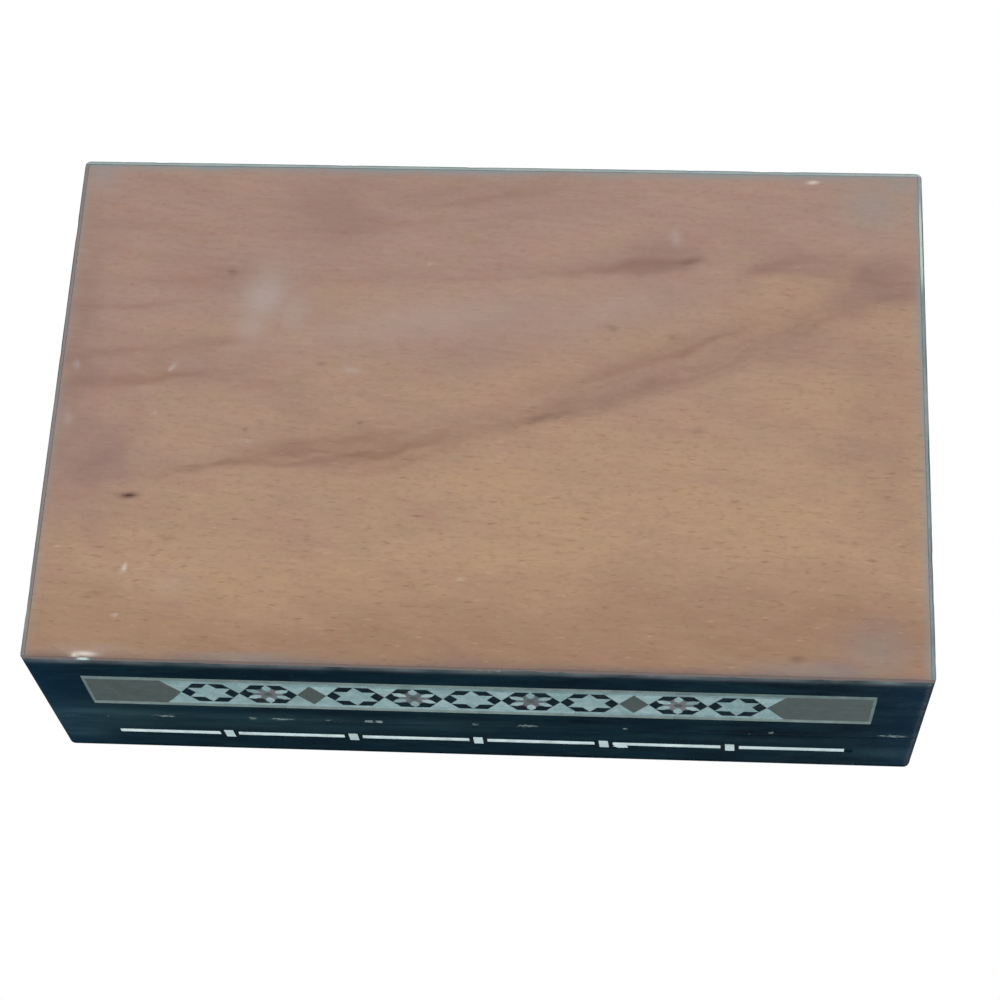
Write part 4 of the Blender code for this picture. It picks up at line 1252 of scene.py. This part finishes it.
# %% [markdown]
# ## Velvet inside
# The box is lined with velvet over thin card. Each lining is a low crowned pad: highest in its
# middle, drawn in towards its edges, and slightly uneven, as glued cloth is. Sheen gives the pile
# its bright edge, and two noises give it the darker and lighter patches that fingers leave.


# %% Velvet
def velvet():
    """Short pile: dark red, brighter where the pile is brushed one way, with a soft sheen."""
    finish = Finish("velvet", Roughness=0.9, Specular_IOR_Level=0.1, Sheen_Weight=0.35,
                    Sheen_Roughness=0.4, Sheen_Tint=tint(214, 120, 128))
    brushed = finish.noise((16, 11, 9), turn=25, detail=5, roughness=0.55)
    pile = finish.noise((0.35, 0.35, 0.35), detail=2, seed=6)
    colour = finish.layers((92, 14, 29), (brushed, 0.35, 0.65, 1, (120, 25, 41)),
                           (pile, 0.55, 0.75, 0.4, (58, 6, 16)))
    return finish.done(colour, None, finish.relief(pile, 0.12, finish.relief(brushed, 0.3)))


VELVET = velvet()

# %% Pads
PAD_SPREAD, PAD_STEP, PAD_ROUNDING = 0.24 * MM, 1.1 * MM, 0.5 * MM
PAD_FALL_REACH, PAD_SAG, PAD_RIPPLE = 3.0, 0.06, 0.03  # In millimetres.
PAD_FALL, PAD_FILL = 0.3, 0.8  # Shares of the thickness, and of a tight filling.


def pad(name, node, facing, body, seed):
    """A crowned pad that fills a lining's space. It faces along one axis, towards facing's sign.

    Its height is full in the middle and falls near its rim, as a fourth-power curve. The cloth
    swells into the glue gaps round it, but not past the seam.
    """
    low, high = (np.array(corner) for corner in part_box(node))
    axis = int(np.argmax(np.abs(facing)))
    first, second = [other for other in range(3) if other != axis]
    spread = np.where(np.arange(3) == axis, 0.0, PAD_SPREAD)
    open_low = np.array([0, 0, axis != 2 and body == "lid"])
    open_high = np.array([0, 0, axis != 2 and body == "body"])
    low, high = low - spread * (1 - open_low), high + spread * (1 - open_high)
    across, up = (grid_line(low[other], high[other], PAD_STEP, PAD_ROUNDING)
                  for other in (first, second))
    x, y = in_millimetres(across, up)
    thickness = (high[axis] - low[axis]) / MM
    fall = np.clip(1 - rim_distance(across, up) / MM / PAD_FALL_REACH, 0, 1) ** 4
    sag = PAD_SAG * (1 + rough_noise(x, y, 17, 13, seed))
    sag = sag + PAD_RIPPLE * (1 + rough_noise(x, y, 4, 4, seed + 9))
    depth = MM * thickness * np.clip(PAD_FALL * fall + sag / thickness, 0, 0.8)
    rows, groups = plate(across, up, depth, MM * thickness)
    points = np.empty((len(rows), 3))
    points[:, first], points[:, second] = rows[:, 0], rows[:, 1]
    points[:, axis] = high[axis] - rows[:, 2] if facing[axis] > 0 else low[axis] + rows[:, 2]
    piece = make_piece(name, body, "velvet", [VELVET], points, groups, [node])


pad("floor_pad", "floor_lining", (0, 0, 1), "body", 701)
pad("lid_pad", "lid_lining", (0, 0, -1), "lid", 711)
for number, (side, turn) in enumerate(TURNS.items()):
    inward = (round(-math.sin(math.radians(turn))), round(math.cos(math.radians(turn))), 0)
    pad(f"body_{side}_pad", f"body_{side}_lining", inward, "body", 721 + number)
    pad(f"lid_{side}_pad", f"lid_{side}_lining", inward, "lid", 731 + number)

# %% [markdown]
# ## Brass
# The hinges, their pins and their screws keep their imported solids, because those are exact. Their
# finish is old brass: yellow metal with brown tarnish in patches and a dull polish.


# %% Brass on the hinges
def brass():
    """Yellow metal, tarnished brown in patches and finely scratched."""
    finish = Finish("old_brass", Metallic=1.0)
    patch = finish.noise((2.6, 2.6, 2.6), detail=5, roughness=0.6)
    scratch = finish.noise((3, 0.12, 0.12), detail=2, seed=3)
    colour = finish.layers((206, 172, 104), (patch, 0.4, 0.7, 1, (126, 96, 58)))
    rough = finish.part(patch, 0.35, 0.7, 0.26, 0.5)
    return finish.done(colour, rough, finish.relief(scratch, 0.01))


assign([name for name in nodes if "_hinge_" in name], brass())
print("brass on the hinges")

# %% [markdown]
# ## The stage
# The box stands on a pale floor. The photograph's camera looks up from below it, so the floor is
# clear from underneath and stops no light: the underside is lit as if nothing were there. From
# above it is a plain pale surface that holds the box's shadow and fades to white far away. Seen
# directly the world is white. In reflections it is white at the horizon and dark overhead, as a
# room is above a lit table, and that keeps the lacquer black.

# %% Floor
FLOOR_LEVEL = -0.2 * MM
FLOOR_HALF = 4.0


def floor_finish():
    """Pale above, clear below, and white where it is far from the box."""
    finish = Finish("pale_floor", Roughness=0.9, Specular_IOR_Level=0.0,
                    Base_Color=tint(226, 226, 224))
    place = finish.add("TexCoord", {}, "Object")
    away = finish.add("VectorMath", {0: place}, "Value", operation="LENGTH")
    fade = finish.add("MapRange", {"Value": away, "From Min": 0.35, "From Max": 1.3},
                      interpolation_type="SMOOTHSTEP")
    direct = finish.add("LightPath", {}, "Is Camera Ray")
    white = finish.add("Emission", {"Color": (1, 1, 1, 1), "Strength": 1.0})
    bright, plain = finish.times(fade, direct), finish.shader.outputs[0]
    surface = finish.add("MixShader", {0: bright, 1: plain, 2: white})
    clear = finish.add("BsdfTransparent", {"Color": (1, 1, 1, 1)})
    behind = finish.add("NewGeometry", {}, "Backfacing")
    surface = finish.add("MixShader", {0: behind, 1: surface, 2: clear})
    finish.tree.links.new(surface, finish.tree.nodes["Material Output"].inputs["Surface"])
    return finish.material


floor_mesh = bpy.data.meshes.new("floor")
corners = boxed(-FLOOR_HALF, FLOOR_HALF, -FLOOR_HALF, FLOOR_HALF)
floor_mesh.from_pydata([(x, y, FLOOR_LEVEL) for x, y in corners], [], [(0, 1, 2, 3)])
floor_mesh.materials.append(floor_finish())
floor = bpy.data.objects.new("floor", floor_mesh)
bpy.context.scene.collection.objects.link(floor)
floor.visible_shadow = floor.visible_diffuse = floor.visible_glossy = False

# %% World
AMBIENT = 0.6
world = bpy.data.worlds.new("studio")
world.use_nodes = True
bpy.context.scene.world = world
sky = world.node_tree
ray = add_node(sky, "LightPath", {}).node
direction = add_node(sky, "TexCoord", {}, "Generated")
height = add_node(sky, "SeparateXYZ", {0: direction}, "Z")
gradient = add_node(sky, "MapRange", {"Value": height, "From Min": 0.05, "From Max": 0.75,
                                      "To Min": 0.85, "To Max": 0.06},
                    interpolation_type="SMOOTHSTEP")
mirrored = add_node(sky, "Mix", {0: ray.outputs["Is Glossy Ray"], 2: AMBIENT, 3: gradient})
seen = add_node(sky, "Mix", {0: ray.outputs["Is Camera Ray"], 2: mirrored, 3: 1.0})
sky.links.new(seen, sky.nodes["Background"].inputs["Strength"])
sky.nodes["Background"].inputs["Color"].default_value = (1, 1, 1, 1)


# %% Lamps
def lamp(name, place, size, power):
    """A soft white square lamp that faces the box."""
    data = bpy.data.lights.new(name, "AREA")
    data.size, data.energy = size, power
    light = bpy.data.objects.new(name, data)
    light.matrix_world = aimed(Vector(place), Vector((0, 0, TOP / 2)), 0, Vector((0, 0.1, 1)))
    bpy.context.scene.collection.objects.link(light)


lamp("key", (-0.7, -0.75, 1.0), 0.7, 8.0)
lamp("fill", (0.9, -0.6, 0.5), 0.9, 3.0)
lamp("rear", (0.4, 1.0, 0.9), 0.8, 4.0)
lamp("below", (-0.25, -0.55, -1.1), 0.8, 7.0)
print("four lamps")
